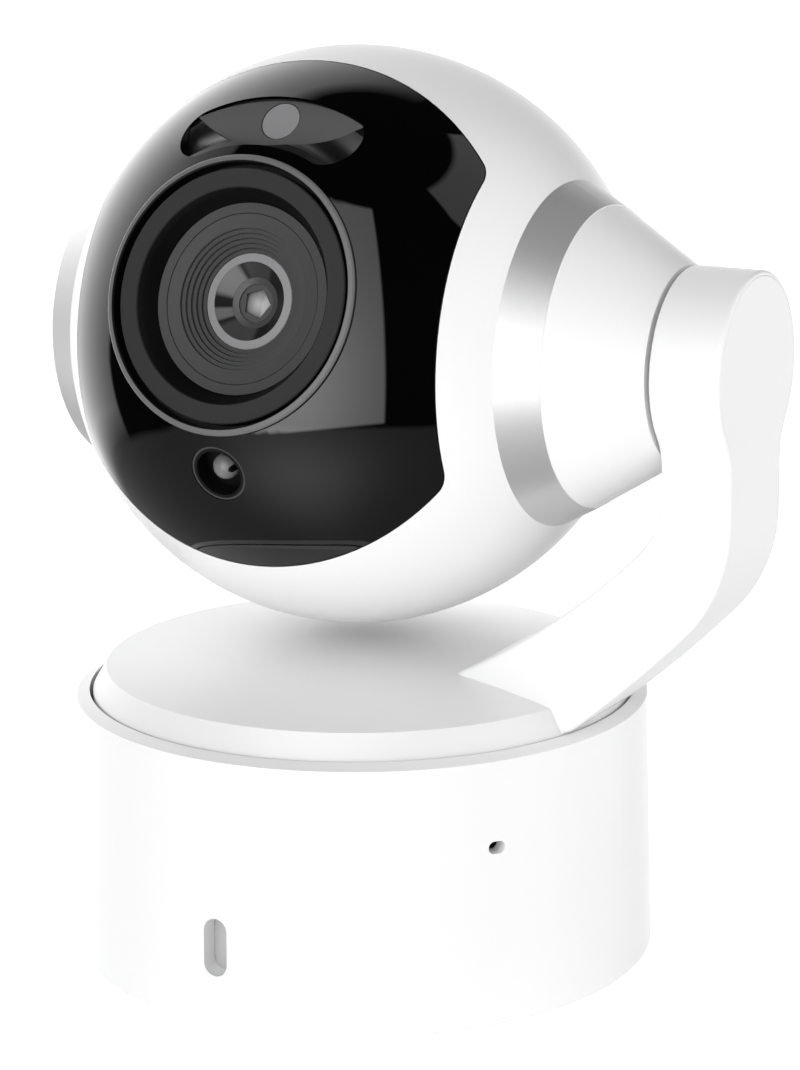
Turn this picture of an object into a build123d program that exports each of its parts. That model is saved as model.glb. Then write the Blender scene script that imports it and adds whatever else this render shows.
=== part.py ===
from build123d import *
from math import atan2, cos, degrees, pi, radians, sin, sqrt, tan
import os

# Pan-and-tilt home security camera: a ball head carried by a one-sided arm on a
# turntable, over a round base. The lens looks along -Y, the arm stands on +X and
# the origin is the centre of the surface that the camera stands on.

# ---------------------------------------------------------------- driving dimensions
FOOT = 0.5  # the rubber ring lifts the base shell off the table

# base
BASE_R_LOW = 41.9
BASE_R_TOP = 41.0
WALL_TOP = FOOT + 37.2
RIM_R = 39.2  # inner edge of the sloping rim
RIM_TOP = FOOT + 38.0
BASE_WALL = 2.4
DECK_TOP = 33.5
DECK_BOTTOM = 31.5
PLATE_TOP = 3.0
BOARD_BOTTOM = 10.0
BOARD_TOP = 11.6
POST_XY = 24.0  # the four screw posts stand at (+-24, +-24)
POST_R = 3.0

# turntable
DOME_TOP = FOOT + 46.1
DOME_EDGE_R = 36.7
DOME_EDGE_Z = FOOT + 41.3
SKIRT_R = 38.7
SKIRT_TOP = FOOT + 37.9
SKIRT_BOTTOM = 34.2
SKIN = 2.0
SPINDLE_R = 7.0
CABLE_R = 4.5

# arm
ARM_INNER_X = 50.35
ARM_OUTER_X = 60.4
HUB_R = 13.3
ARM_HALF_WIDTH = 8.7  # at the waist under the hub
ARM_FOOT_HALF_WIDTH = 11.4
NECK_FILLET = 8.0
COVER_T = 1.4
COVER_INSET = 0.75
COVER_GAP = 0.05
ARM_WALL = 2.2
ARM_EDGE = 0.55  # rounding of the long edges

# head
HEAD_Z = FOOT + 88.5
HEAD_R = 40.47
HEAD_INNER_R = 36.5
TILT = 17.44  # the lens looks this many degrees above the horizon at rest
SIDE_X = 32.9  # flat sides of the ball that carry the rings
VISOR_T = 2.0
VISOR_ANGLE = 58.13  # visor edge, measured from the lens axis
VISOR_SIDE_R = 29.6  # the visor stops at this radius round the tilt axis
VISOR_CORNER = 4.5
SHELL_SPLIT = -18.0  # the two shells part on this plane across the lens axis

# tilt drive
AXLE_R = 5.0
AXLE_BORE = 3.2
RUNNING = 0.05  # radial running clearance
TILT_MODULE = 0.6
TILT_GEAR_TEETH = 38
TILT_PINION_TEETH = 12
TILT_GEAR_X = 26.6
TILT_GEAR_W = 3.5

# pan drive
PAN_MODULE = 0.8
PAN_GEAR_TEETH = 44
PAN_PINION_TEETH = 11
PAN_GEAR_Z = 27.0
PAN_GEAR_W = 3.0

# lens, radii and depths along the lens axis from the ball's centre
BEZEL_FACE = 36.1
BEZEL_R = 17.0
BEZEL_INNER_R = 14.5
THROAT_R = 12.85
THROAT_TOP_R = 13.9
THROAT_TOP = 35.2
FUNNEL_FACE = 33.2
GROOVE_START_R = 9.5
GROOVE_COUNT = 5
GROOVE_PITCH = 0.6
LENS_RING_R = 6.5
LENS_RING_BORE = 5.3
LENS_RING_FACE = 31.1
ELEMENT_R = 3.4
ELEMENT_FACE = 29.5
TRIM_FACE = 36.9
TRIM_R = 18.65
TRIM_BORE = 17.65

# sensor window over the lens and infrared lamp under it
WINDOW_MID_R = 24.0
WINDOW_HALF_WIDTH = 3.8
WINDOW_HALF_ANGLE = 24.0
WINDOW_SINK = 0.5
TROUGH_R = 5.56  # the window is hollowed to this radius along its arc
TROUGH_MID_R = 26.4
TROUGH_DEPTH = 35.6
FACET_TILT = 20.0
FACET_UP = 24.5
FACET_DEPTH = 28.6
SENSOR_R = 2.7
LAMP_ANGLE = -35.3
LAMP_R = 4.04
LED_R = 1.8
LED_DOME = 38.0  # centre of the dome, from the centre of the ball

# front and side openings of the base
LIGHT_W = 3.6
LIGHT_H = 8.2
LIGHT_Z = FOOT + 11.05
LIGHT_DEPTH = 2.75
MIC_ANGLE = 54.8  # from the front towards the arm
MIC_Z = FOOT + 25.2
MIC_W = 2.5
MIC_H = 1.75
PORT_Z = 8.4
CARD_X = -13.5
RESET_X = 14.0
SPEAKER_R = 9.0
SPEAKER_Z = 21.5

# ---------------------------------------------------------------- frames
PARTS_DIR = "parts"
C_TILT = cos(radians(TILT))
S_TILT = sin(radians(TILT))
CENTRE = Vector(0, 0, HEAD_Z)
LENS_DIR = Vector(0, -C_TILT, S_TILT)
HEAD_UP = Vector(0, S_TILT, C_TILT)
TILT_AXIS = Axis(CENTRE, (1, 0, 0))
LENS_AXIS = Axis(CENTRE, LENS_DIR)
# local x is the object's +X, local y is the head's own up, local z looks out of the lens
LENS_PLANE = Plane(origin=CENTRE, x_dir=(1, 0, 0), z_dir=LENS_DIR)
# sections that are revolved: local x is the radius, local y the depth along the axis
LENS_SECTION = Plane(origin=CENTRE, x_dir=(1, 0, 0), z_dir=LENS_DIR.cross(Vector(1, 0, 0)) * -1)
# local x is the object's +X, local y is up
TILT_SECTION = Plane(origin=CENTRE, x_dir=(1, 0, 0), z_dir=(0, -1, 0))


def finish(builder, name):
    """Label a finished piece and write it as its own STEP file."""
    builder.part.label = name
    export_step(builder.part, f"{PARTS_DIR}/{name}.step")


def at_depth(depth):
    """Plane across the lens axis, that far in front of the ball's centre."""
    return LENS_PLANE.offset(depth)


def across_tilt(x):
    """Plane across the tilt axis at x; its local x is the lens direction at rest."""
    return Plane(origin=(x, 0, HEAD_Z), x_dir=LENS_DIR, z_dir=(1, 0, 0))


def head_up_plane(angle):
    """Frame on the ball at an angle above the lens axis, looking straight out."""
    out = LENS_DIR * cos(radians(angle)) + HEAD_UP * sin(radians(angle))
    return Plane(origin=CENTRE, x_dir=(1, 0, 0), z_dir=out)


def base_radius(z):
    """Outer radius of the base wall at a height."""
    share = (z - FOOT) / (WALL_TOP - FOOT)
    return BASE_R_LOW + (BASE_R_TOP - BASE_R_LOW) * share


def gear_face(teeth, module, backlash, first):
    """Spur gear outline with straight flanks; first is the angle of the first tooth."""
    pitch_r = teeth * module / 2
    tip_r = pitch_r + 0.8 * module
    root_r = pitch_r - 1.15 * module
    half = (pi * module / 2 - backlash) / 2
    slope = tan(radians(20))
    tip_half = degrees((half - 0.8 * module * slope) / tip_r)
    root_half = degrees((half + 1.15 * module * slope) / root_r)
    points = []
    for tooth in range(teeth):
        middle = first + 360 * tooth / teeth
        for radius, turn in ((root_r, -root_half), (tip_r, -tip_half), (tip_r, tip_half), (root_r, root_half)):
            angle = radians(middle + turn)
            points.append((radius * cos(angle), radius * sin(angle)))
    with BuildSketch() as outline:
        Polygon(*points, align=None)
    return outline.sketch


os.makedirs(PARTS_DIR, exist_ok=True)

# ---------------------------------------------------------------- base
POSTS = [(x, y) for x in (-POST_XY, POST_XY) for y in (-POST_XY, POST_XY)]
STANDOFFS = [(x, y) for x in (-18, 18) for y in (-12, 12)]
PAN_CENTRES = (PAN_GEAR_TEETH + PAN_PINION_TEETH) * PAN_MODULE / 2
BRACKET_SPOTS = [(-PAN_CENTRES, -14), (-PAN_CENTRES, 14)]
BRACKET_TOP = 26.2
MIC_RADIUS = base_radius(MIC_Z)
MIC_OUT = Vector(sin(radians(MIC_ANGLE)), -cos(radians(MIC_ANGLE)), 0)
MIC_PLANE = Plane(
    origin=(0, 0, MIC_Z), x_dir=(cos(radians(MIC_ANGLE)), sin(radians(MIC_ANGLE)), 0), z_dir=MIC_OUT
)
FRONT = Plane(origin=(0, 0, 0), x_dir=(1, 0, 0), z_dir=(0, -1, 0))
BACK = Plane(origin=(0, 0, 0), x_dir=(-1, 0, 0), z_dir=(0, 1, 0))

with BuildPart() as base_shell:
    with BuildSketch(Plane.XZ):
        with BuildLine():
            Polyline(
                (base_radius(FOOT) - BASE_WALL, FOOT),
                (BASE_R_LOW - 0.3, FOOT),
                (BASE_R_LOW, FOOT + 0.3),
                (BASE_R_TOP, WALL_TOP),
                (RIM_R, RIM_TOP),
                (RIM_R, DECK_TOP),
                (SPINDLE_R + RUNNING, DECK_TOP),
                (SPINDLE_R + RUNNING, DECK_BOTTOM),
                (base_radius(DECK_BOTTOM) - BASE_WALL, DECK_BOTTOM),
                close=True,
            )
        make_face()
    revolve(axis=Axis.Z)
    # screw posts for the bottom plate and for the motor bracket hang under the deck
    with BuildSketch(Plane.XY.offset(PLATE_TOP)):
        with Locations(*POSTS):
            Circle(POST_R)
    extrude(amount=DECK_BOTTOM - PLATE_TOP)
    with BuildSketch(Plane.XY.offset(BRACKET_TOP)):
        with Locations(*BRACKET_SPOTS):
            Circle(2.5)
    extrude(amount=DECK_BOTTOM - BRACKET_TOP)
    # frame round the status light, inside the wall
    with BuildSketch(FRONT.offset(36.5)):
        with Locations((0, LIGHT_Z)):
            SlotOverall(LIGHT_H + 3, LIGHT_W + 3, rotation=90)
    extrude(amount=base_radius(LIGHT_Z) - 36.5 - 1.0)
    # pilot holes for the screws
    with BuildSketch(Plane.XY.offset(PLATE_TOP)):
        with Locations(*POSTS):
            Circle(1.0)
    extrude(amount=9, mode=Mode.SUBTRACT)
    with BuildSketch(Plane.XY.offset(BRACKET_TOP)):
        with Locations(*BRACKET_SPOTS):
            Circle(0.8)
    extrude(amount=4, mode=Mode.SUBTRACT)
    # status light slot in front, microphone hole on the arm's side
    with BuildSketch(FRONT.offset(30)):
        with Locations((0, LIGHT_Z)):
            SlotOverall(LIGHT_H, LIGHT_W, rotation=90)
    extrude(amount=15, mode=Mode.SUBTRACT)
    with BuildSketch(MIC_PLANE.offset(35)):
        SlotOverall(MIC_W, MIC_H)
    extrude(amount=10, mode=Mode.SUBTRACT)
    # power socket, card slot and reset hole in the back
    with BuildSketch(BACK.offset(35)):
        with Locations((0, PORT_Z)):
            SlotOverall(9.4, 4.0)
        with Locations((-CARD_X, PORT_Z + 0.5)):
            RectangleRounded(12.6, 1.5, 0.6)
        with Locations((-RESET_X, PORT_Z)):
            Circle(1.25)
    extrude(amount=10, mode=Mode.SUBTRACT)
    # speaker grille: rings of small holes in the back
    with BuildSketch(BACK.offset(34)):
        with Locations((0, SPEAKER_Z)):
            Circle(0.55)
            with PolarLocations(2.2, 6):
                Circle(0.55)
            with PolarLocations(4.4, 12):
                Circle(0.55)
            with PolarLocations(6.6, 18):
                Circle(0.55)
    extrude(amount=10, mode=Mode.SUBTRACT)
finish(base_shell, "base_shell")

PLATE_R = base_radius(FOOT) - BASE_WALL - 0.1
with BuildPart() as base_plate:
    with BuildSketch(Plane.XY.offset(FOOT)):
        Circle(PLATE_R - 0.1)
    extrude(amount=PLATE_TOP - FOOT)
    with BuildSketch(Plane.XY.offset(PLATE_TOP)):
        with Locations(*STANDOFFS):
            Circle(2.2)
        Circle(7.0)
    extrude(amount=BOARD_BOTTOM - PLATE_TOP)
    # groove for the rubber ring
    with BuildSketch(Plane.XY.offset(FOOT)):
        Circle(38.0)
        Circle(33.4, mode=Mode.SUBTRACT)
    extrude(amount=0.8, mode=Mode.SUBTRACT)
    # counterbored screw holes in the bottom of the groove's inner side
    with Locations(*[Pos(x, y, FOOT) * Rotation(180, 0, 0) for x, y in POSTS]):
        CounterBoreHole(radius=1.3, counter_bore_radius=2.6, counter_bore_depth=1.2, depth=5)
    # seat of the threaded insert
    with BuildSketch(Plane.XY.offset(FOOT)):
        Circle(5.0)
    extrude(amount=8.0, mode=Mode.SUBTRACT)
    # ventilation slots
    with BuildSketch(Plane.XY.offset(FOOT)):
        with PolarLocations(25.5, 12, start_angle=15):
            SlotOverall(9, 1.4)
    extrude(amount=PLATE_TOP, mode=Mode.SUBTRACT)
finish(base_plate, "base_plate")

with BuildPart() as foot_ring:
    with BuildSketch():
        Circle(37.95)
        Circle(33.45, mode=Mode.SUBTRACT)
        # the ring is notched round the four screws
        with Locations(*POSTS):
            Circle(2.8, mode=Mode.SUBTRACT)
    extrude(amount=FOOT + 0.8)
    fillet(foot_ring.edges().filter_by(Plane.XY).group_by(Axis.Z)[0], 0.25)
finish(foot_ring, "foot_ring")

TRIPOD_R = 2.6
with BuildPart() as tripod_insert:
    with BuildSketch(Plane.XY.offset(FOOT)):
        Circle(5.0)
        Circle(TRIPOD_R, mode=Mode.SUBTRACT)
    extrude(amount=8.0)
finish(tripod_insert, "tripod_insert")

SCREW_HEAD = 1.1
with BuildPart() as base_screws:
    with BuildSketch(Plane.XY.offset(FOOT + 1.2)):
        with Locations(*POSTS):
            Circle(0.95)
    extrude(amount=9.0)
    with BuildSketch(Plane.XY.offset(FOOT + 1.2)):
        with Locations(*POSTS):
            Circle(2.2)
    extrude(amount=-SCREW_HEAD)
    with BuildSketch(Plane.XY.offset(FOOT + 1.2 - SCREW_HEAD)):
        with Locations(*POSTS):
            Rectangle(2.6, 0.5)
            Rectangle(0.5, 2.6)
    extrude(amount=0.6, mode=Mode.SUBTRACT)
finish(base_screws, "base_screws")

with BuildPart() as main_board:
    with BuildSketch(Plane.XY.offset(BOARD_BOTTOM)):
        Circle(35.0)
        with Locations(*POSTS):
            Circle(POST_R + 0.4, mode=Mode.SUBTRACT)
        with Locations((0, -36)):
            Rectangle(12, 10, mode=Mode.SUBTRACT)
        with Locations(*STANDOFFS):
            Circle(1.1, mode=Mode.SUBTRACT)
    extrude(amount=BOARD_TOP - BOARD_BOTTOM)
    # chips on top, the reset switch underneath
    with BuildSketch(Plane.XY.offset(BOARD_TOP)):
        with Locations((12, -8)):
            Rectangle(13, 13)
        with Locations((12, 9)):
            Rectangle(9, 11)
        with Locations((-2, -24)):
            Rectangle(14, 9)
        with Locations((26, 3)):
            Rectangle(5, 7)
    extrude(amount=1.2)
    with BuildSketch(Plane.XY.offset(BOARD_BOTTOM)):
        with Locations((RESET_X, 30.0)):
            Rectangle(4.4, 4.0)
    extrude(amount=-3.2)
finish(main_board, "main_board")

SOCKET_W = 7.6
SOCKET_H = 2.8
with BuildPart() as power_socket:
    with BuildSketch(BACK.offset(31.5)):
        with Locations((0, PORT_Z)):
            RectangleRounded(SOCKET_W, SOCKET_H, 0.7)
    extrude(amount=6.8)
    with BuildSketch(BACK.offset(33)):
        with Locations((0, PORT_Z)):
            RectangleRounded(SOCKET_W - 0.7, SOCKET_H - 0.7, 0.5)
    extrude(amount=6, mode=Mode.SUBTRACT)
    # contact tongue
    with BuildSketch(BACK.offset(32.5)):
        with Locations((0, PORT_Z + 0.3)):
            Rectangle(3.8, 0.6)
    extrude(amount=4.5)
    # solder block up to the board
    with BuildSketch(BACK.offset(31.5)):
        with Locations((0, (PORT_Z + BOARD_BOTTOM) / 2)):
            Rectangle(SOCKET_W - 1, BOARD_BOTTOM - PORT_Z)
    extrude(amount=1.0)
finish(power_socket, "power_socket")

with BuildPart() as card_socket:
    with BuildSketch(Plane.XY.offset(BOARD_BOTTOM - 1.9)):
        with Locations((CARD_X, 24.4)):
            Rectangle(13.5, 14.0)
    extrude(amount=1.9)
    with BuildSketch(Plane.XY.offset(BOARD_BOTTOM - 1.5)):
        with Locations((CARD_X, 25.4)):
            Rectangle(11.4, 13.0)
    extrude(amount=0.9, mode=Mode.SUBTRACT)
finish(card_socket, "card_socket")

RESET_TIP = 37.6
with BuildPart() as reset_button:
    with BuildSketch(BACK.offset(33.2)):
        with Locations((-RESET_X, PORT_Z)):
            Circle(1.0)
    extrude(amount=RESET_TIP - 33.2)
    with BuildSketch(BACK.offset(33.2)):
        with Locations((-RESET_X, PORT_Z)):
            Circle(1.5)
    extrude(amount=0.8)
finish(reset_button, "reset_button")

LIGHT_FACE = base_radius(LIGHT_Z) - LIGHT_DEPTH
with BuildPart() as status_light:
    with BuildSketch(FRONT.offset(34.5)):
        with Locations((0, LIGHT_Z)):
            SlotOverall(LIGHT_H - 0.1, LIGHT_W - 0.1, rotation=90)
    extrude(amount=LIGHT_FACE - 34.5)
    with BuildSketch(FRONT.offset(34.5)):
        with Locations((0, LIGHT_Z)):
            SlotOverall(LIGHT_H + 2.4, LIGHT_W + 2.4, rotation=90)
    extrude(amount=2.0)
finish(status_light, "status_light")

with BuildPart() as microphone:
    with BuildSketch(MIC_PLANE.offset(35.2)):
        Circle(3.0)
    extrude(amount=2.8)
    with BuildSketch(MIC_PLANE.offset(37.0)):
        Circle(1.3)
    extrude(amount=1.0, mode=Mode.SUBTRACT)
finish(microphone, "microphone")

with BuildPart() as speaker:
    with BuildSketch(BACK.offset(31.0)):
        with Locations((0, SPEAKER_Z)):
            Circle(6.0)
    extrude(amount=2.5)
    with BuildSketch(BACK.offset(33.5)):
        with Locations((0, SPEAKER_Z)):
            Circle(SPEAKER_R)
    extrude(amount=3.0)
    with BuildSketch(BACK.offset(35.5)):
        with Locations((0, SPEAKER_Z)):
            Circle(SPEAKER_R - 1.0)
    extrude(amount=1.0, mode=Mode.SUBTRACT)
finish(speaker, "speaker")

with BuildPart() as glide_ring:
    with BuildSketch(Plane.XY.offset(DECK_TOP)):
        Circle(34.0)
        Circle(31.0, mode=Mode.SUBTRACT)
    extrude(amount=1.5)
finish(glide_ring, "glide_ring")

# ---------------------------------------------------------------- pan drive
MOTOR_TOP = 25.0
with BuildPart() as pan_motor:
    with BuildSketch(Plane.XY.offset(13.0)):
        with Locations((-PAN_CENTRES, 0)):
            Circle(10.0)
    extrude(amount=MOTOR_TOP - 13.0)
    fillet(pan_motor.edges().filter_by(GeomType.CIRCLE).group_by(Axis.Z)[0], 0.8)
    with BuildSketch(Plane.XY.offset(MOTOR_TOP)):
        with Locations((-PAN_CENTRES, 0)):
            Circle(3.0)
    extrude(amount=BRACKET_TOP - MOTOR_TOP)
    with BuildSketch(Plane.XY.offset(MOTOR_TOP)):
        with Locations((-PAN_CENTRES, 0)):
            Circle(1.0)
    extrude(amount=PAN_GEAR_Z + PAN_GEAR_W - MOTOR_TOP)
finish(pan_motor, "pan_motor")

with BuildPart() as motor_bracket:
    with BuildSketch(Plane.XY.offset(MOTOR_TOP)):
        with Locations((-PAN_CENTRES, 0)):
            SlotOverall(34, 10, rotation=90)
            Circle(7.5)
            Circle(3.05, mode=Mode.SUBTRACT)
        with Locations(*BRACKET_SPOTS):
            Circle(1.0, mode=Mode.SUBTRACT)
    extrude(amount=BRACKET_TOP - MOTOR_TOP)
finish(motor_bracket, "motor_bracket")

with BuildPart() as bracket_screws:
    with BuildSketch(Plane.XY.offset(MOTOR_TOP)):
        with Locations(*BRACKET_SPOTS):
            Circle(0.78)
    extrude(amount=4.5)
    with BuildSketch(Plane.XY.offset(MOTOR_TOP)):
        with Locations(*BRACKET_SPOTS):
            Circle(1.7)
    extrude(amount=-1.1)
finish(bracket_screws, "bracket_screws")

PAN_BACKLASH = 0.2
pan_pinion_face = gear_face(PAN_PINION_TEETH, PAN_MODULE, PAN_BACKLASH, 180 / PAN_PINION_TEETH)
with BuildPart() as pan_pinion:
    with BuildSketch(Plane.XY.offset(PAN_GEAR_Z - 0.3)):
        with Locations((-PAN_CENTRES, 0)):
            add(pan_pinion_face)
            Circle(1.0 + RUNNING, mode=Mode.SUBTRACT)
    extrude(amount=PAN_GEAR_W + 0.6)
finish(pan_pinion, "pan_pinion")

with BuildPart() as pan_gear:
    with BuildSketch(Plane.XY.offset(PAN_GEAR_Z)):
        add(gear_face(PAN_GEAR_TEETH, PAN_MODULE, PAN_BACKLASH, 180))
        Circle(SPINDLE_R, mode=Mode.SUBTRACT)
        with PolarLocations(12.5, 6):
            Circle(1.9, mode=Mode.SUBTRACT)
    extrude(amount=PAN_GEAR_W)
    # raised hub that runs under the deck
    with BuildSketch(Plane.XY.offset(PAN_GEAR_Z + PAN_GEAR_W)):
        Circle(10.0)
        Circle(SPINDLE_R, mode=Mode.SUBTRACT)
    extrude(amount=DECK_BOTTOM - PAN_GEAR_Z - PAN_GEAR_W - RUNNING)
finish(pan_gear, "pan_gear")

SPINDLE_BOTTOM = 25.6
CLIP_T = 0.8
GROOVE_R = SPINDLE_R - 0.6
SPINDLE_FLANGE = 39.0
with BuildPart() as pan_spindle:
    with BuildSketch(Plane.XY.offset(SPINDLE_BOTTOM)):
        Circle(SPINDLE_R)
    extrude(amount=SPINDLE_FLANGE - SPINDLE_BOTTOM)
    with BuildSketch(Plane.XY.offset(SPINDLE_FLANGE)):
        Circle(12.0)
    extrude(amount=2.0)
    with BuildSketch(Plane.XY.offset(SPINDLE_BOTTOM)):
        Circle(CABLE_R)
    extrude(amount=20, mode=Mode.SUBTRACT)
    with BuildSketch(Plane.XY.offset(PAN_GEAR_Z - CLIP_T)):
        Circle(SPINDLE_R)
        Circle(GROOVE_R, mode=Mode.SUBTRACT)
    extrude(amount=CLIP_T, mode=Mode.SUBTRACT)
    with BuildSketch(Plane.XY.offset(SPINDLE_FLANGE)):
        with PolarLocations(9.5, 3, start_angle=90):
            Circle(0.9)
    extrude(amount=2.0, mode=Mode.SUBTRACT)
finish(pan_spindle, "pan_spindle")

with BuildPart() as spindle_clip:
    with BuildSketch(Plane.XY.offset(PAN_GEAR_Z - CLIP_T)):
        Circle(SPINDLE_R + 1.6)
        Circle(GROOVE_R, mode=Mode.SUBTRACT)
        with Locations((0, -SPINDLE_R)):
            Rectangle(7, 8, mode=Mode.SUBTRACT)
    extrude(amount=CLIP_T)
finish(spindle_clip, "spindle_clip")

# ---------------------------------------------------------------- arm outlines
# seen from the front: a strip that comes down from the hub and sweeps in to the turntable
with BuildSketch(Plane.XZ) as arm_band:
    with BuildLine():
        outer_drop = Line((ARM_OUTER_X, HEAD_Z + HUB_R + 2), (ARM_OUTER_X, FOOT + 68.5))
        outer_bend = TangentArc(outer_drop @ 1, (54.2, FOOT + 53.2), tangent=outer_drop % 1)
        outer_run = TangentArc(outer_bend @ 1, (34.5, FOOT + 35.4), tangent=outer_bend % 1)
        inner_drop = Line((ARM_INNER_X, HEAD_Z + HUB_R + 2), (ARM_INNER_X, FOOT + 72.0))
        inner_bend = TangentArc(inner_drop @ 1, (46.9, FOOT + 63.6), tangent=inner_drop % 1)
        inner_run = TangentArc(inner_bend @ 1, (18.5, FOOT + 43.2), tangent=inner_bend % 1)
        Line(outer_drop @ 0, inner_drop @ 0)
        Line(inner_run @ 1, outer_run @ 1)
    make_face()

# seen from the side: the round hub, a waist, and a foot that grows wider downwards
FILLET_REACH = HUB_R + NECK_FILLET
WAIST_DROP = sqrt(FILLET_REACH**2 - (ARM_HALF_WIDTH + NECK_FILLET) ** 2)
SHOULDER = (
    (ARM_HALF_WIDTH + NECK_FILLET) * HUB_R / FILLET_REACH,
    HEAD_Z - WAIST_DROP * HUB_R / FILLET_REACH,
)
with BuildSketch(Plane.YZ) as arm_side:
    with BuildLine():
        crown = ThreePointArc((0, HEAD_Z + HUB_R), (HUB_R, HEAD_Z), SHOULDER)
        neck = TangentArc(crown @ 1, (ARM_HALF_WIDTH, HEAD_Z - WAIST_DROP), tangent=crown % 1)
        flare = TangentArc(neck @ 1, (ARM_FOOT_HALF_WIDTH, 34), tangent=neck % 1)
        Polyline(flare @ 1, (0, 34), (0, HEAD_Z + HUB_R))
    make_face()
    mirror(about=Plane.YZ)

with BuildSketch(Plane.YZ) as cover_side:
    offset(arm_side.sketch_local, amount=-COVER_INSET)
with BuildSketch(Plane.YZ) as cover_seat_side:
    offset(arm_side.sketch_local, amount=COVER_GAP - COVER_INSET)
with BuildSketch(Plane.YZ) as arm_duct_side:
    with Locations((0, HEAD_Z)):
        Circle(HUB_R - ARM_WALL)
    with Locations((0, FOOT + 62)):
        Rectangle(2 * CABLE_R, 52)

# ---------------------------------------------------------------- turntable and arm
with BuildSketch(Plane.XZ) as turntable_outside:
    with BuildLine():
        dome = ThreePointArc(
            (0, DOME_TOP),
            (DOME_EDGE_R / 2, DOME_TOP - (DOME_TOP - DOME_EDGE_Z) / 4),
            (DOME_EDGE_R, DOME_EDGE_Z),
        )
        Polyline(dome @ 1, (SKIRT_R, SKIRT_TOP), (SKIRT_R, SKIRT_BOTTOM), (0, SKIRT_BOTTOM), (0, DOME_TOP))
    make_face()

ARM_SCREWS = [(27.0, -8.0), (27.0, 8.0)]
DUCT_X = 29.0
with BuildPart() as turntable:
    add(turntable_outside.sketch)
    revolve(axis=Axis.Z)
    # hollow underside that leaves a gliding rib, an outer skirt and a boss for the spindle
    with BuildSketch(Plane.XZ):
        with BuildLine():
            roof = ThreePointArc(
                (12.5, DOME_TOP - SKIN - 0.6), (24, DOME_TOP - SKIN - 2.1), (31.0, DOME_TOP - SKIN - 3.8)
            )
            Polyline(roof @ 1, (31.0, SKIRT_BOTTOM), (12.5, SKIRT_BOTTOM), roof @ 0)
        make_face()
        with BuildLine():
            Polyline((34.0, SKIRT_BOTTOM), (36.9, SKIRT_BOTTOM), (36.9, 37.6), (34.9, 39.8), (34.0, 39.8), close=True)
        make_face()
    revolve(axis=Axis.Z, mode=Mode.SUBTRACT)
    # the gliding rib runs on the ring that lies on the deck
    with BuildSketch(Plane.XY.offset(SKIRT_BOTTOM)):
        Circle(35.0)
        Circle(30.0, mode=Mode.SUBTRACT)
    extrude(amount=DECK_TOP + 1.5 + RUNNING - SKIRT_BOTTOM, mode=Mode.SUBTRACT)
    with BuildSketch(Plane.XY.offset(SKIRT_BOTTOM)):
        Circle(12.5)
    extrude(amount=SPINDLE_FLANGE + 2 - SKIRT_BOTTOM, mode=Mode.SUBTRACT)
    with BuildSketch(Plane.XY.offset(SPINDLE_FLANGE)):
        Circle(CABLE_R)
    extrude(amount=4.4, mode=Mode.SUBTRACT)
    with BuildSketch(Plane.XY.offset(SPINDLE_FLANGE + 2)):
        with PolarLocations(9.5, 3, start_angle=90):
            Circle(0.7)
    extrude(amount=2.6, mode=Mode.SUBTRACT)
    # the arm's cable comes down through the dome between two screw holes
    with BuildSketch(Plane.XY.offset(SKIRT_BOTTOM)):
        with Locations((DUCT_X, 0)):
            SlotOverall(2 * CABLE_R - 1.4, 3.0, rotation=90)
        with Locations(*ARM_SCREWS):
            Circle(1.25)
    extrude(amount=20, mode=Mode.SUBTRACT)
finish(turntable, "turntable")

SPINDLE_SCREW_SPOTS = PolarLocations(9.5, 3, start_angle=90)
with BuildPart() as spindle_screws:
    with BuildSketch(Plane.XY.offset(SPINDLE_FLANGE)):
        with PolarLocations(9.5, 3, start_angle=90):
            Circle(0.68)
    extrude(amount=4.4)
    with BuildSketch(Plane.XY.offset(SPINDLE_FLANGE)):
        with PolarLocations(9.5, 3, start_angle=90):
            Circle(1.5)
    extrude(amount=-1.2)
finish(spindle_screws, "spindle_screws")

with BuildPart() as cover_zone:
    extrude(arm_band.sketch, amount=20, both=True)
    extrude(Pos(-COVER_T, 0, COVER_T / 2) * arm_band.sketch, amount=21, both=True, mode=Mode.SUBTRACT)
    split(bisect_by=Plane.YZ.offset(30), keep=Keep.TOP)
    split(bisect_by=Plane.XY.offset(FOOT + 42.0), keep=Keep.TOP)

with BuildPart() as arm_duct:
    extrude(arm_band.sketch, amount=20, both=True)
    extrude(Pos(ARM_WALL, 0, -ARM_WALL / 2) * arm_band.sketch, amount=21, both=True, mode=Mode.INTERSECT)
    extrude(Pos(-COVER_T - 0.6, 0, COVER_T) * arm_band.sketch, amount=21, both=True, mode=Mode.INTERSECT)
    extrude(arm_duct_side.sketch, amount=70, mode=Mode.INTERSECT)

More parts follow.
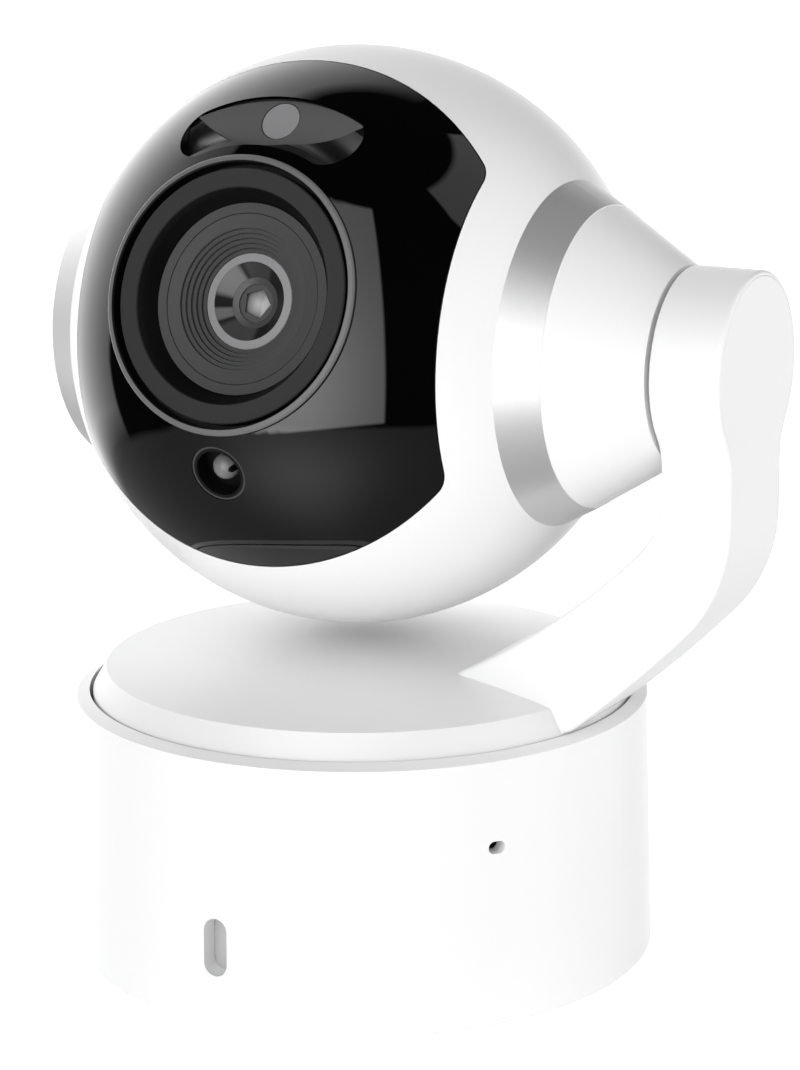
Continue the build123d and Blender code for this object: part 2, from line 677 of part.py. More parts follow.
with BuildPart() as arm_shell:
    extrude(arm_band.sketch, amount=20, both=True)
    extrude(arm_side.sketch, amount=70, mode=Mode.INTERSECT)
    fillet(arm_shell.edges().filter_by_position(Axis.X, 41, 62), ARM_EDGE)
    # the foot stands on the dome and on the turntable's bevel, clear of the base rim
    add(turntable_outside.sketch)
    revolve(axis=Axis.Z, mode=Mode.SUBTRACT)
    with BuildSketch(Plane.XZ):
        with Locations((SKIRT_R + 0.15, 0)):
            Rectangle(20, RIM_TOP + 0.4, align=(Align.MIN, Align.MIN))
    revolve(axis=Axis.Z, mode=Mode.SUBTRACT)
    # seat of the outer cover
    add(cover_zone.part.intersect(extrude(cover_seat_side.sketch, amount=70, mode=Mode.PRIVATE)), mode=Mode.SUBTRACT)
    # cable duct from the hub to the foot
    add(arm_duct.part, mode=Mode.SUBTRACT)
    with BuildSketch(Plane.YZ.offset(ARM_INNER_X + ARM_WALL)):
        with Locations((0, HEAD_Z)):
            Circle(HUB_R - ARM_WALL)
    extrude(amount=ARM_OUTER_X - COVER_T - ARM_INNER_X - ARM_WALL, mode=Mode.SUBTRACT)
    # the axle passes through the hub's inner wall, with three screw holes round it
    with BuildSketch(Plane.YZ.offset(ARM_INNER_X)):
        with Locations((0, HEAD_Z)):
            Circle(AXLE_R)
            with PolarLocations(7.3, 3, start_angle=90):
                Circle(0.7)
    extrude(amount=ARM_WALL, mode=Mode.SUBTRACT)
    with BuildSketch(Plane.XY.offset(40)):
        with Locations((DUCT_X, 0)):
            SlotOverall(2 * CABLE_R - 1.4, 3.0, rotation=90)
    extrude(amount=7.2, mode=Mode.SUBTRACT)
    with BuildSketch(Plane.XY.offset(40)):
        with Locations(*ARM_SCREWS):
            Circle(0.8)
    extrude(amount=7.0, mode=Mode.SUBTRACT)
finish(arm_shell, "arm_shell")

with BuildPart() as arm_cover:
    add(cover_zone.part.intersect(extrude(cover_side.sketch, amount=70, mode=Mode.PRIVATE)))
finish(arm_cover, "arm_cover")

with BuildPart() as arm_screws:
    with BuildSketch(Plane.XY.offset(40.6)):
        with Locations(*ARM_SCREWS):
            Circle(0.78)
    extrude(amount=6.2)
    with BuildSketch(Plane.XY.offset(40.8)):
        with Locations(*ARM_SCREWS):
            Circle(1.8)
    extrude(amount=-1.2)
finish(arm_screws, "arm_screws")

# ---------------------------------------------------------------- tilt axle and gear
AXLE_FLANGE_X = ARM_INNER_X + ARM_WALL
AXLE_END_X = 25.6
with BuildPart() as tilt_axle:
    with BuildSketch(TILT_SECTION):
        with BuildLine():
            Polyline(
                (AXLE_END_X, AXLE_BORE),
                (AXLE_END_X, AXLE_R),
                (AXLE_FLANGE_X, AXLE_R),
                (AXLE_FLANGE_X, 9.0),
                (AXLE_FLANGE_X + 1.5, 9.0),
                (AXLE_FLANGE_X + 1.5, AXLE_BORE),
                close=True,
            )
        make_face()
        with Locations((TILT_GEAR_X - CLIP_T / 2, AXLE_R)):
            Rectangle(CLIP_T, 1.0, mode=Mode.SUBTRACT)
    revolve(axis=TILT_AXIS)
    with BuildSketch(across_tilt(AXLE_FLANGE_X)):
        with PolarLocations(7.3, 3, start_angle=TILT - 90):
            Circle(0.85)
    extrude(amount=1.5, mode=Mode.SUBTRACT)
finish(tilt_axle, "tilt_axle")

with BuildPart() as axle_screws:
    with BuildSketch(Plane.YZ.offset(ARM_INNER_X + 0.3)):
        with Locations((0, HEAD_Z)):
            with PolarLocations(7.3, 3, start_angle=90):
                Circle(0.68)
    extrude(amount=ARM_WALL + 1.2)
    with BuildSketch(Plane.YZ.offset(AXLE_FLANGE_X + 1.5)):
        with Locations((0, HEAD_Z)):
            with PolarLocations(7.3, 3, start_angle=90):
                Circle(1.4)
    extrude(amount=1.0)
finish(axle_screws, "axle_screws")

TILT_BACKLASH = 0.16
MOTOR_BACK = 12.0
MOTOR_DOWN = 9.0
TILT_CENTRES = sqrt(MOTOR_BACK**2 + MOTOR_DOWN**2)
MESH_ANGLE = degrees(atan2(MOTOR_DOWN, -MOTOR_BACK))
with BuildPart() as tilt_gear:
    with BuildSketch(across_tilt(TILT_GEAR_X)):
        add(gear_face(TILT_GEAR_TEETH, TILT_MODULE, TILT_BACKLASH, MESH_ANGLE))
        Circle(AXLE_R, mode=Mode.SUBTRACT)
    extrude(amount=TILT_GEAR_W)
finish(tilt_gear, "tilt_gear")

tilt_pinion_face = gear_face(
    TILT_PINION_TEETH, TILT_MODULE, TILT_BACKLASH, MESH_ANGLE + 180 + 180 / TILT_PINION_TEETH
)
with BuildPart() as tilt_pinion:
    with BuildSketch(across_tilt(TILT_GEAR_X - 0.3)):
        with Locations((-MOTOR_BACK, MOTOR_DOWN)):
            add(tilt_pinion_face)
            Circle(0.8 + RUNNING, mode=Mode.SUBTRACT)
    extrude(amount=TILT_GEAR_W + 0.3)
finish(tilt_pinion, "tilt_pinion")

with BuildPart() as axle_clip:
    with BuildSketch(across_tilt(TILT_GEAR_X - CLIP_T)):
        Circle(AXLE_R + 1.4)
        Circle(AXLE_R - 0.5, mode=Mode.SUBTRACT)
        with Locations((0, -AXLE_R)):
            Rectangle(5, 6, mode=Mode.SUBTRACT)
    extrude(amount=CLIP_T)
finish(axle_clip, "axle_clip")

TILT_MOTOR_FACE = 24.0
with BuildPart() as tilt_motor:
    with BuildSketch(across_tilt(TILT_MOTOR_FACE)):
        with Locations((-MOTOR_BACK, MOTOR_DOWN)):
            Circle(7.5)
    extrude(amount=-16.0)
    with BuildSketch(across_tilt(TILT_MOTOR_FACE)):
        with Locations((-MOTOR_BACK, MOTOR_DOWN)):
            Circle(2.5)
    extrude(amount=1.4)
    with BuildSketch(across_tilt(TILT_MOTOR_FACE)):
        with Locations((-MOTOR_BACK, MOTOR_DOWN)):
            Circle(0.8)
    extrude(amount=TILT_GEAR_X + TILT_GEAR_W - TILT_MOTOR_FACE)
finish(tilt_motor, "tilt_motor")

# ---------------------------------------------------------------- head shells
VISOR_R = HEAD_R * sin(radians(VISOR_ANGLE))
VISOR_HALF_WIDTH = sqrt(HEAD_R**2 - VISOR_SIDE_R**2)
SHELL_WALL = HEAD_R - HEAD_INNER_R
SCREW_RING = [(-21.6, -21.6), (21.6, -21.6), (-21.6, 21.6), (21.6, 21.6)]
CHASSIS_D = 14.0
CHASSIS_T = 2.0

with BuildSketch(LENS_PLANE) as visor_outline:
    Circle(VISOR_R)
    Rectangle(2 * VISOR_HALF_WIDTH, 90, mode=Mode.INTERSECT)
    fillet(visor_outline.vertices(), VISOR_CORNER)
with BuildSketch(LENS_PLANE) as visor_seat:
    offset(visor_outline.sketch_local, amount=0.12)

WINDOW_ARC = CenterArc((0, 0), WINDOW_MID_R, 90 - WINDOW_HALF_ANGLE, 2 * WINDOW_HALF_ANGLE)
with BuildSketch(LENS_PLANE) as window_outline:
    SlotArc(WINDOW_ARC, 2 * WINDOW_HALF_WIDTH)
with BuildSketch(LENS_PLANE) as window_plug:
    SlotArc(WINDOW_ARC, 2 * WINDOW_HALF_WIDTH - 0.1)

LAMP_PLANE = head_up_plane(LAMP_ANGLE)

with BuildPart() as ball:
    with Locations(CENTRE):
        Sphere(HEAD_R, rotation=(0, 90, 0))
        Box(2 * SIDE_X, 100, 100, mode=Mode.INTERSECT)
with BuildPart() as ball_inside:
    with Locations(CENTRE):
        Sphere(HEAD_INNER_R, rotation=(0, 90, 0))
        Box(2 * (SIDE_X - 2.0), 100, 100, mode=Mode.INTERSECT)
with BuildPart() as visor_bed:
    with Locations(CENTRE):
        Sphere(HEAD_R - VISOR_T, rotation=(0, 90, 0))

with BuildPart() as front_shell:
    add(ball.part)
    add(ball_inside.part, mode=Mode.SUBTRACT)
    # ears for the chassis in front and for the rear shell behind
    with BuildSketch(at_depth(CHASSIS_D + CHASSIS_T)):
        with Locations(*[(x * 0.92, y * 0.92) for x, y in SCREW_RING]):
            Circle(3.5)
    extrude(amount=12)
    with BuildSketch(at_depth(SHELL_SPLIT)):
        with Locations(*SCREW_RING):
            Circle(4.0)
        with Locations(*[(x * 1.1, y * 1.1) for x, y in SCREW_RING]):
            Circle(4.0)
    extrude(amount=10)
    add(ball.part, mode=Mode.INTERSECT)
    split(bisect_by=at_depth(SHELL_SPLIT), keep=Keep.TOP)
    # bed of the visor
    add(extrude(visor_seat.sketch, amount=50, mode=Mode.PRIVATE) - visor_bed.part, mode=Mode.SUBTRACT)
    # lens, window and lamp openings
    with BuildSketch(at_depth(20)):
        Circle(TRIM_R + 0.05)
    extrude(amount=30, mode=Mode.SUBTRACT)
    extrude(window_outline.sketch, amount=50, mode=Mode.SUBTRACT)
    with BuildSketch(LAMP_PLANE.offset(30)):
        Circle(LAMP_R)
    extrude(amount=12, mode=Mode.SUBTRACT)
    # round openings in the flat sides, pilot holes
    with BuildSketch(Plane.YZ.offset(-SIDE_X)):
        with Locations((0, HEAD_Z)):
            Circle(14.0)
    extrude(amount=2 * SIDE_X, mode=Mode.SUBTRACT)
    with BuildSketch(at_depth(SHELL_SPLIT)):
        with Locations(*SCREW_RING):
            Circle(0.9)
    extrude(amount=8.5, mode=Mode.SUBTRACT)
    with BuildSketch(at_depth(CHASSIS_D + CHASSIS_T)):
        with Locations(*[(x * 0.92, y * 0.92) for x, y in SCREW_RING]):
            Circle(0.8)
    extrude(amount=6, mode=Mode.SUBTRACT)
finish(front_shell, "front_shell")

SCREW_SEAT = SHELL_SPLIT - 4.0
with BuildPart() as rear_shell:
    add(ball.part)
    add(ball_inside.part, mode=Mode.SUBTRACT)
    with BuildSketch(at_depth(SHELL_SPLIT)):
        with Locations(*SCREW_RING):
            Circle(4.0)
        with Locations(*[(x * 1.1, y * 1.1) for x, y in SCREW_RING]):
            Circle(4.0)
    extrude(amount=-12)
    add(ball.part, mode=Mode.INTERSECT)
    split(bisect_by=at_depth(SHELL_SPLIT), keep=Keep.BOTTOM)
    with BuildSketch(at_depth(SHELL_SPLIT)):
        with Locations(*SCREW_RING):
            Circle(1.25)
    extrude(amount=-6, mode=Mode.SUBTRACT)
    with BuildSketch(at_depth(SCREW_SEAT)):
        with Locations(*SCREW_RING):
            Circle(2.5)
    extrude(amount=-20, mode=Mode.SUBTRACT)
    # a narrow groove marks the joint of the two shells
    with BuildSketch(at_depth(SHELL_SPLIT)):
        Circle(HEAD_R)
        Circle(sqrt(HEAD_R**2 - SHELL_SPLIT**2) - 0.25, mode=Mode.SUBTRACT)
    extrude(amount=-0.25, mode=Mode.SUBTRACT)
    # sound and air slots at the back
    with BuildSketch(at_depth(-45)):
        with Locations(*[(0, y) for y in (-6, -3, 0, 3, 6)]):
            SlotOverall(14, 1.2)
    extrude(amount=12, mode=Mode.SUBTRACT)
    with BuildSketch(Plane.YZ.offset(-SIDE_X)):
        with Locations((0, HEAD_Z)):
            Circle(14.0)
    extrude(amount=2 * SIDE_X, mode=Mode.SUBTRACT)
finish(rear_shell, "rear_shell")

with BuildPart() as shell_screws:
    with BuildSketch(at_depth(SCREW_SEAT)):
        with Locations(*SCREW_RING):
            Circle(0.88)
    extrude(amount=11)
    with BuildSketch(at_depth(SCREW_SEAT)):
        with Locations(*SCREW_RING):
            Circle(2.0)
    extrude(amount=-1.3)
    with BuildSketch(at_depth(SCREW_SEAT - 1.3)):
        with Locations(*SCREW_RING):
            Rectangle(2.4, 0.5)
            Rectangle(0.5, 2.4)
    extrude(amount=0.7, mode=Mode.SUBTRACT)
finish(shell_screws, "shell_screws")

with BuildPart() as visor:
    extrude(visor_outline.sketch, amount=50)
    add(ball.part, mode=Mode.INTERSECT)
    add(visor_bed.part, mode=Mode.SUBTRACT)
    with BuildSketch(at_depth(20)):
        Circle(TRIM_R + 0.02)
    extrude(amount=30, mode=Mode.SUBTRACT)
    extrude(window_outline.sketch, amount=50, mode=Mode.SUBTRACT)
    with BuildSketch(LAMP_PLANE.offset(30)):
        Circle(LAMP_R)
    extrude(amount=12, mode=Mode.SUBTRACT)
finish(visor, "visor")

with BuildPart() as head_chassis:
    with BuildSketch(at_depth(CHASSIS_D)):
        Circle(32.5)
        with Locations(*[(x * 0.92, y * 0.92) for x, y in SCREW_RING]):
            Circle(1.0, mode=Mode.SUBTRACT)
        Circle(8.6, mode=Mode.SUBTRACT)
        Rectangle(2 * SIDE_X - 8, 80, mode=Mode.INTERSECT)
    extrude(amount=CHASSIS_T)
    with BuildSketch(at_depth(CHASSIS_D)):
        with Locations((-12, -10), (12, -10), (-12, 10), (12, 10)):
            Circle(2.0)
            Circle(0.7, mode=Mode.SUBTRACT)
    extrude(amount=-5)
    # side plate that carries the tilt motor and lets the axle pass
    with BuildSketch(across_tilt(TILT_MOTOR_FACE)):
        with Locations(((CHASSIS_D - 20) / 2, 4)):
            Rectangle(CHASSIS_D + 20, 25)
        with Locations((-MOTOR_BACK, MOTOR_DOWN)):
            Circle(2.55, mode=Mode.SUBTRACT)
        Circle(AXLE_R + 2.0, mode=Mode.SUBTRACT)
    extrude(amount=1.4)
finish(head_chassis, "head_chassis")

with BuildPart() as chassis_screws:
    with BuildSketch(at_depth(CHASSIS_D)):
        with Locations(*[(x * 0.92, y * 0.92) for x, y in SCREW_RING]):
            Circle(0.78)
    extrude(amount=7)
    with BuildSketch(at_depth(CHASSIS_D)):
        with Locations(*[(x * 0.92, y * 0.92) for x, y in SCREW_RING]):
            Circle(1.7)
    extrude(amount=-1.1)
finish(chassis_screws, "chassis_screws")

# ---------------------------------------------------------------- side rings, cap, hub cone
RING_OUT_X = 38.3
RING_OUT_R = 20.55
BALL_SIDE_R = sqrt(HEAD_R**2 - SIDE_X**2)
CONE_END_X = 49.85
BUSH_R = 7.0
with BuildPart() as side_ring_right:
    with BuildSketch(TILT_SECTION):
        with BuildLine():
            Polyline(
                (SIDE_X, 14.0),
                (SIDE_X, BALL_SIDE_R),
                (RING_OUT_X, RING_OUT_R),
                (RING_OUT_X, RING_OUT_R - 1.6),
                (SIDE_X + 1.6, BALL_SIDE_R - 2.0),
                (SIDE_X + 1.6, 14.0),
                close=True,
            )
        make_face()
    revolve(axis=TILT_AXIS)
finish(side_ring_right, "side_ring_right")

LEFT_OUT_X = 37.6
LEFT_OUT_R = BALL_SIDE_R + (RING_OUT_R - BALL_SIDE_R) * (LEFT_OUT_X - SIDE_X) / (RING_OUT_X - SIDE_X)
with BuildPart() as side_ring_left:
    with BuildSketch(TILT_SECTION):
        with BuildLine():
            Polyline(
                (-SIDE_X, 14.0),
                (-SIDE_X, BALL_SIDE_R),
                (-LEFT_OUT_X, LEFT_OUT_R),
                (-LEFT_OUT_X, LEFT_OUT_R - 1.6),
                (-SIDE_X - 1.6, BALL_SIDE_R - 2.2),
                (-SIDE_X - 1.6, 14.0),
                close=True,
            )
        make_face()
    revolve(axis=TILT_AXIS)
finish(side_ring_left, "side_ring_left")

with BuildPart() as left_cap:
    with BuildSketch(TILT_SECTION):
        with BuildLine():
            Polyline(
                (-LEFT_OUT_X + 0.1, 0),
                (-LEFT_OUT_X + 0.1, LEFT_OUT_R - 1.7),
                (-LEFT_OUT_X + 1.8, LEFT_OUT_R - 1.7),
                (-LEFT_OUT_X + 1.8, 0),
                close=True,
            )
        make_face()
        # three-legged hub that clips into the side opening
        with BuildLine():
            Polyline(
                (-LEFT_OUT_X + 1.8, 12.0), (-LEFT_OUT_X + 1.8, 13.9), (-30.0, 13.9), (-30.0, 12.0), close=True
            )
        make_face()
    revolve(axis=TILT_AXIS)
finish(left_cap, "left_cap")

with BuildPart() as hub_cone:
    with BuildSketch(TILT_SECTION):
        with BuildLine():
            Polyline(
                (RING_OUT_X - 1.5, RING_OUT_R - 1.65),
                (RING_OUT_X, RING_OUT_R - 1.65),
                (RING_OUT_X, RING_OUT_R - 0.1),
                (CONE_END_X, HUB_R),
                (CONE_END_X, BUSH_R),
                (CONE_END_X - 5.0, BUSH_R),
                (CONE_END_X - 5.0, BUSH_R + 1.8),
                (CONE_END_X - 1.6, BUSH_R + 1.8),
                (CONE_END_X - 1.6, HUB_R - 1.4),
                (RING_OUT_X, RING_OUT_R - 3.2),
                (RING_OUT_X - 1.5, RING_OUT_R - 3.2),
                close=True,
            )
        make_face()
    revolve(axis=TILT_AXIS)
finish(hub_cone, "hub_cone")

with BuildPart() as outer_bush:
    with BuildSketch(TILT_SECTION):
        with Locations((CONE_END_X - 2.5, (AXLE_R + BUSH_R) / 2 + RUNNING / 2)):
            Rectangle(5.0, BUSH_R - AXLE_R - RUNNING)
    revolve(axis=TILT_AXIS)
finish(outer_bush, "outer_bush")

with BuildPart() as inner_bush:
    with BuildSketch(TILT_SECTION):
        with BuildLine():
            Polyline(
                (SIDE_X - 2.4, AXLE_R + RUNNING),
                (SIDE_X - 2.4, 16.5),
                (SIDE_X - 2.0, 16.5),
                (SIDE_X - 2.0, 13.95),
                (SIDE_X, 13.95),
                (SIDE_X, 8.0),
                (SIDE_X + 2.0, 8.0),
                (SIDE_X + 2.0, AXLE_R + RUNNING),
                close=True,
            )
        make_face()
    revolve(axis=TILT_AXIS)
finish(inner_bush, "inner_bush")

# ---------------------------------------------------------------- lens
with BuildPart() as lens_trim_ring:
    with BuildSketch(LENS_SECTION):
        with BuildLine():
            Polyline(
                (BEZEL_R + 0.03, 33.6),
                (TRIM_R, 33.6),
                (TRIM_R, TRIM_FACE - 0.5),
                (TRIM_R - 0.25, TRIM_FACE - 0.25),
                (TRIM_BORE + 0.2, TRIM_FACE - 0.1),
                (TRIM_BORE, TRIM_FACE - 0.3),
                (TRIM_BORE, 34.2),
                (BEZEL_R + 0.03, 34.2),
                close=True,
            )
        make_face()
    revolve(axis=LENS_AXIS)
finish(lens_trim_ring, "lens_trim_ring")

with BuildPart() as lens_bezel:
    with BuildSketch(LENS_SECTION):
        with BuildLine():
            Polyline(
                (BEZEL_R, 28.0),
                (BEZEL_R, BEZEL_FACE - 0.15),
                (BEZEL_R - 0.15, BEZEL_FACE),
                (BEZEL_INNER_R, BEZEL_FACE),
                (THROAT_TOP_R, THROAT_TOP),
                (THROAT_R, FUNNEL_FACE - 0.1),
                (THROAT_R, 28.0),
                close=True,
            )
        make_face()
    revolve(axis=LENS_AXIS)
finish(lens_bezel, "lens_bezel")

GROOVE_DROP = (33.0 - LENS_RING_FACE) / GROOVE_COUNT
steps = []
for groove in range(GROOVE_COUNT):
    radius = GROOVE_START_R - groove * GROOVE_PITCH
    depth = 33.0 - groove * GROOVE_DROP
    steps += [(radius, depth), (radius - 0.08, depth - GROOVE_DROP)]
with BuildPart() as lens_funnel:
    with BuildSketch(LENS_SECTION):
        with BuildLine():
            Polyline(
                (THROAT_R - 0.05, 28.0),
                (THROAT_R - 0.05, FUNNEL_FACE),
                (11.5, 33.15),
                (11.45, 33.0),
                (11.35, 33.12),
                *steps,
                (LENS_RING_R, LENS_RING_FACE),
                (LENS_RING_R, 28.0),
                close=True,
            )
        make_face()
    revolve(axis=LENS_AXIS)
finish(lens_funnel, "lens_funnel")

with BuildPart() as lens_ring:
    with BuildSketch(LENS_SECTION):
        with BuildLine():
            Polyline(
                (LENS_RING_BORE, 28.0),
                (LENS_RING_R - 0.03, 28.0),
                (LENS_RING_R - 0.03, LENS_RING_FACE - 0.1),
                (LENS_RING_R - 0.13, LENS_RING_FACE),
                (LENS_RING_BORE, LENS_RING_FACE + 0.05),
                close=True,
            )
        make_face()
    revolve(axis=LENS_AXIS)
finish(lens_ring, "lens_ring")

with BuildPart() as lens_cone:
    with BuildSketch(LENS_SECTION):
        with BuildLine():
            Polyline(
                (ELEMENT_R - 0.8, 29.25),
                (ELEMENT_R, ELEMENT_FACE),
                (LENS_RING_BORE - 0.03, LENS_RING_FACE),
                (LENS_RING_BORE - 0.03, 28.0),
                (ELEMENT_R, 28.0),
                (ELEMENT_R, 29.0),
                (ELEMENT_R - 0.8, 29.0),
                close=True,
            )
        make_face()
    revolve(axis=LENS_AXIS)
finish(lens_cone, "lens_cone")

with BuildPart() as iris_plate:
    with BuildSketch(at_depth(28.75)):
        Circle(ELEMENT_R - 0.03)
        RegularPolygon(2.1, 5, mode=Mode.SUBTRACT)
    extrude(amount=0.25)
finish(iris_plate, "iris_plate")

with BuildPart() as front_element:
    with BuildSketch(LENS_SECTION):
        with BuildLine():
            face = ThreePointArc((0, 28.7), (1.7, 28.55), (ELEMENT_R - 0.05, 28.1))
            Polyline(face @ 1, (ELEMENT_R - 0.05, 26.6), (0, 26.6), (0, 28.7))
        make_face()
    revolve(axis=LENS_AXIS)
finish(front_element, "front_element")

with BuildPart() as lens_barrel:
    with BuildSketch(LENS_SECTION):
        with BuildLine():
            Polyline(
                (6.0, 9.2),
                (8.5, 9.2),
                (8.5, CHASSIS_D + CHASSIS_T),
                (11.5, CHASSIS_D + CHASSIS_T),
                (11.5, CHASSIS_D + CHASSIS_T + 1.5),
                (7.6, CHASSIS_D + CHASSIS_T + 1.5),
                (7.6, 27.95),
                (ELEMENT_R - 0.02, 27.95),
                (ELEMENT_R - 0.02, 26.55),
                (ELEMENT_R - 0.6, 26.55),
                (ELEMENT_R - 0.6, 25.8),
                (6.0, 24.0),
                close=True,
            )
        make_face()
    revolve(axis=LENS_AXIS)
finish(lens_barrel, "lens_barrel")

with BuildPart() as camera_board:
    with BuildSketch(at_depth(7.6)):
        RectangleRounded(29, 25, 1.5)
        with Locations((-12, -10), (12, -10), (-12, 10), (12, 10)):
            Circle(0.85, mode=Mode.SUBTRACT)
    extrude(amount=1.4)
finish(camera_board, "camera_board")

with BuildPart() as image_sensor:
    with BuildSketch(at_depth(9.0)):
        Rectangle(7.2, 6.0)
    extrude(amount=1.1)
finish(image_sensor, "image_sensor")

with BuildPart() as board_screws:
    with BuildSketch(at_depth(7.6)):
        with Locations((-12, -10), (12, -10), (-12, 10), (12, 10)):
            Circle(0.68)
    extrude(amount=5)
    with BuildSketch(at_depth(7.6)):
        with Locations((-12, -10), (12, -10), (-12, 10), (12, 10)):
            Circle(1.4)
    extrude(amount=-1.0)
finish(board_screws, "board_screws")

# ---------------------------------------------------------------- sensor window
FACET = Plane(
    origin=CENTRE + HEAD_UP * FACET_UP + LENS_DIR * (FACET_DEPTH + 0.8),
    x_dir=(1, 0, 0),
    z_dir=LENS_DIR * cos(radians(FACET_TILT)) + HEAD_UP * sin(radians(FACET_TILT)),
)
with BuildSketch(LENS_PLANE) as facet_outline:
    Circle(WINDOW_MID_R + WINDOW_HALF_WIDTH - 0.3)
    with Locations((0, 42.5)):
        Circle(22.2, mode=Mode.INTERSECT)
with BuildSketch(LENS_PLANE) as plate_outline:
    offset(facet_outline.sketch_local, amount=-0.04)
with BuildPart() as window_face:
    with Locations(CENTRE):
        Sphere(HEAD_R - WINDOW_SINK)

with BuildPart() as plate_bed:
    extrude(facet_outline.sketch, amount=45)
    split(bisect_by=FACET.offset(-0.85), keep=Keep.TOP)

with BuildPart() as sensor_window:
    extrude(window_plug.sketch, amount=45)
    add(window_face.part, mode=Mode.INTERSECT)
    split(bisect_by=at_depth(27.0), keep=Keep.TOP)
    # hollow along the arc
    with BuildSketch(LENS_SECTION):
        with Locations((TROUGH_MID_R, TROUGH_DEPTH)):
            Circle(TROUGH_R)
    revolve(axis=LENS_AXIS, mode=Mode.SUBTRACT)
    # pocket with a sloping floor for the sensor's plate
    add(plate_bed.part, mode=Mode.SUBTRACT)
finish(sensor_window, "sensor_window")

with BuildPart() as sensor_plate:
    extrude(plate_outline.sketch, amount=45)
    split(bisect_by=FACET, keep=Keep.BOTTOM)
    split(bisect_by=FACET.offset(-0.8), keep=Keep.TOP)
    # seat of the round sensor
    with BuildSketch(FACET):
        Circle(SENSOR_R + 0.15)
    extrude(amount=-0.5, mode=Mode.SUBTRACT)
finish(sensor_plate, "sensor_plate")

with BuildPart() as light_sensor:
    with BuildSketch(FACET.offset(-0.5)):
        Circle(SENSOR_R)
    extrude(amount=0.45)
finish(light_sensor, "light_sensor")

# ---------------------------------------------------------------- infrared lamp
with BuildPart() as lamp_cup:
    with BuildSketch(LAMP_PLANE.offset(37.0)):
        Circle(LAMP_R - 0.05)
        Circle(LAMP_R - 0.75, mode=Mode.SUBTRACT)
    extrude(amount=HEAD_R - 0.35 - 37.0)
    with BuildSketch(LAMP_PLANE.offset(37.0)):
        Circle(LAMP_R - 0.05)
        Circle(LED_R + 0.05, mode=Mode.SUBTRACT)
    extrude(amount=0.6)
finish(lamp_cup, "lamp_cup")

with BuildPart() as infrared_lamp:
    with BuildSketch(LAMP_PLANE.offset(35.4)):
        Circle(LED_R)
    extrude(amount=LED_DOME - 35.4)
    with Locations(LAMP_PLANE.offset(LED_DOME)):
        Sphere(LED_R)
    with BuildSketch(LAMP_PLANE.offset(35.4)):
        Circle(2.8)
    extrude(amount=0.7)
    split(bisect_by=LAMP_PLANE.offset(35.4), keep=Keep.TOP)
finish(infrared_lamp, "infrared_lamp")
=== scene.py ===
"""Looks of a pan-and-tilt home security camera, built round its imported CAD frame.

The camera is a ball head with a black visor, carried by a one-sided arm on a turntable
over a round base. Everything is in metres, in the frame of the CAD part: the lens looks
along -Y, the arm stands on +X and the origin is the centre of the underside.
"""

import math

import bpy
from bpy.props import FloatProperty, FloatVectorProperty, PointerProperty
from mathutils import Matrix, Vector

bl_info = {
    "name": "Home Security Camera",
    "version": (1, 0, 0),
    "blender": (4, 5, 0),
    "location": "View3D > Sidebar > Camera",
    "description": "Finishes, small visible pieces and studio of a pan-and-tilt security camera",
    "category": "Object",
}

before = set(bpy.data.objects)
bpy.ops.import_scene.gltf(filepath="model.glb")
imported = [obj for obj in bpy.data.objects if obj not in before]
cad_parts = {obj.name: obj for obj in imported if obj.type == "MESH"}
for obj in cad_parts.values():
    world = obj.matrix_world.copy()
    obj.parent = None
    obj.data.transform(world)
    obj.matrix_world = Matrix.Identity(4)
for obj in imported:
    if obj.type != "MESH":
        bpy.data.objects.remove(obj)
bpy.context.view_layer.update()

HEAD_CENTRE = Vector((0.0, 0.0, 0.089))
TILT = math.radians(17.44)
LENS_OUT = Vector((0.0, -math.cos(TILT), math.sin(TILT)))
HEAD_UP = Vector((0.0, math.sin(TILT), math.cos(TILT)))
HEAD_RIGHT = Vector((1.0, 0.0, 0.0))
LAMP_ANGLE = math.radians(-35.3)
LAMP_OUT = LENS_OUT * math.cos(LAMP_ANGLE) + HEAD_UP * math.sin(LAMP_ANGLE)
LAMP_UP = HEAD_UP * math.cos(LAMP_ANGLE) - LENS_OUT * math.sin(LAMP_ANGLE)

# Radii about the lens or lamp axis, and distances along it from the ball's centre,
# in metres.
TRIM_LIP_INNER = 0.01785
TRIM_LIP_OUTER = 0.01863
TRIM_LIP_OUT = 0.0362
BEZEL_FACE_OUT = 0.0359
FUNNEL_FACE_OUT = 0.0331
CONE_RIM_RADIUS = 0.00345
CUP_LIP_INNER = 0.00372
CUP_LIP_RADIUS_LIMIT = 0.005
CUP_FACE_OUT = 0.04
LAMP_DOT_RIGHT = 0.00155
LAMP_DOT_UP = 0.0002
LAMP_DOT_RADIUS = 0.00048
OUT_LIMIT = 0.05

MEAN_NOISE = 0.5
CLOUD_SIZE = 0.018
GRIT_SHARE = 0.6
WHITE = (1.0, 1.0, 1.0, 1.0)

# Brightness of the room's panels: the peak at the middle and an even part all over.
FRONT_PEAK = 3.2
FRONT_EVEN = 1.5
LEFT_PEAK = 2.1
RIGHT_PEAK = 1.6
RIGHT_EVEN = 0.85
TABLE_PEAK = 0.85
TABLE_EVEN = 0.25
# How far the front panel's lower and upper edges slope, in degrees of height per bearing.
FRONT_FOOT_SLOPE = 0.09
FRONT_TOP_SLOPE = 0.16
# Degrees beyond any bearing or height, for an edge that a panel doesn't have.
NO_EDGE = 200.0

SENSOR_WIDTH = 36.0
CAMERA_PLACE = (0.2239, -0.4009, 0.1719)
CAMERA_BEARING = 28.487
CAMERA_DOWN = 13.70
CAMERA_ROLL = -0.4125
CLIP_START = 0.01
CLIP_END = 50.0


# ------------------------------------------------------------------ material building


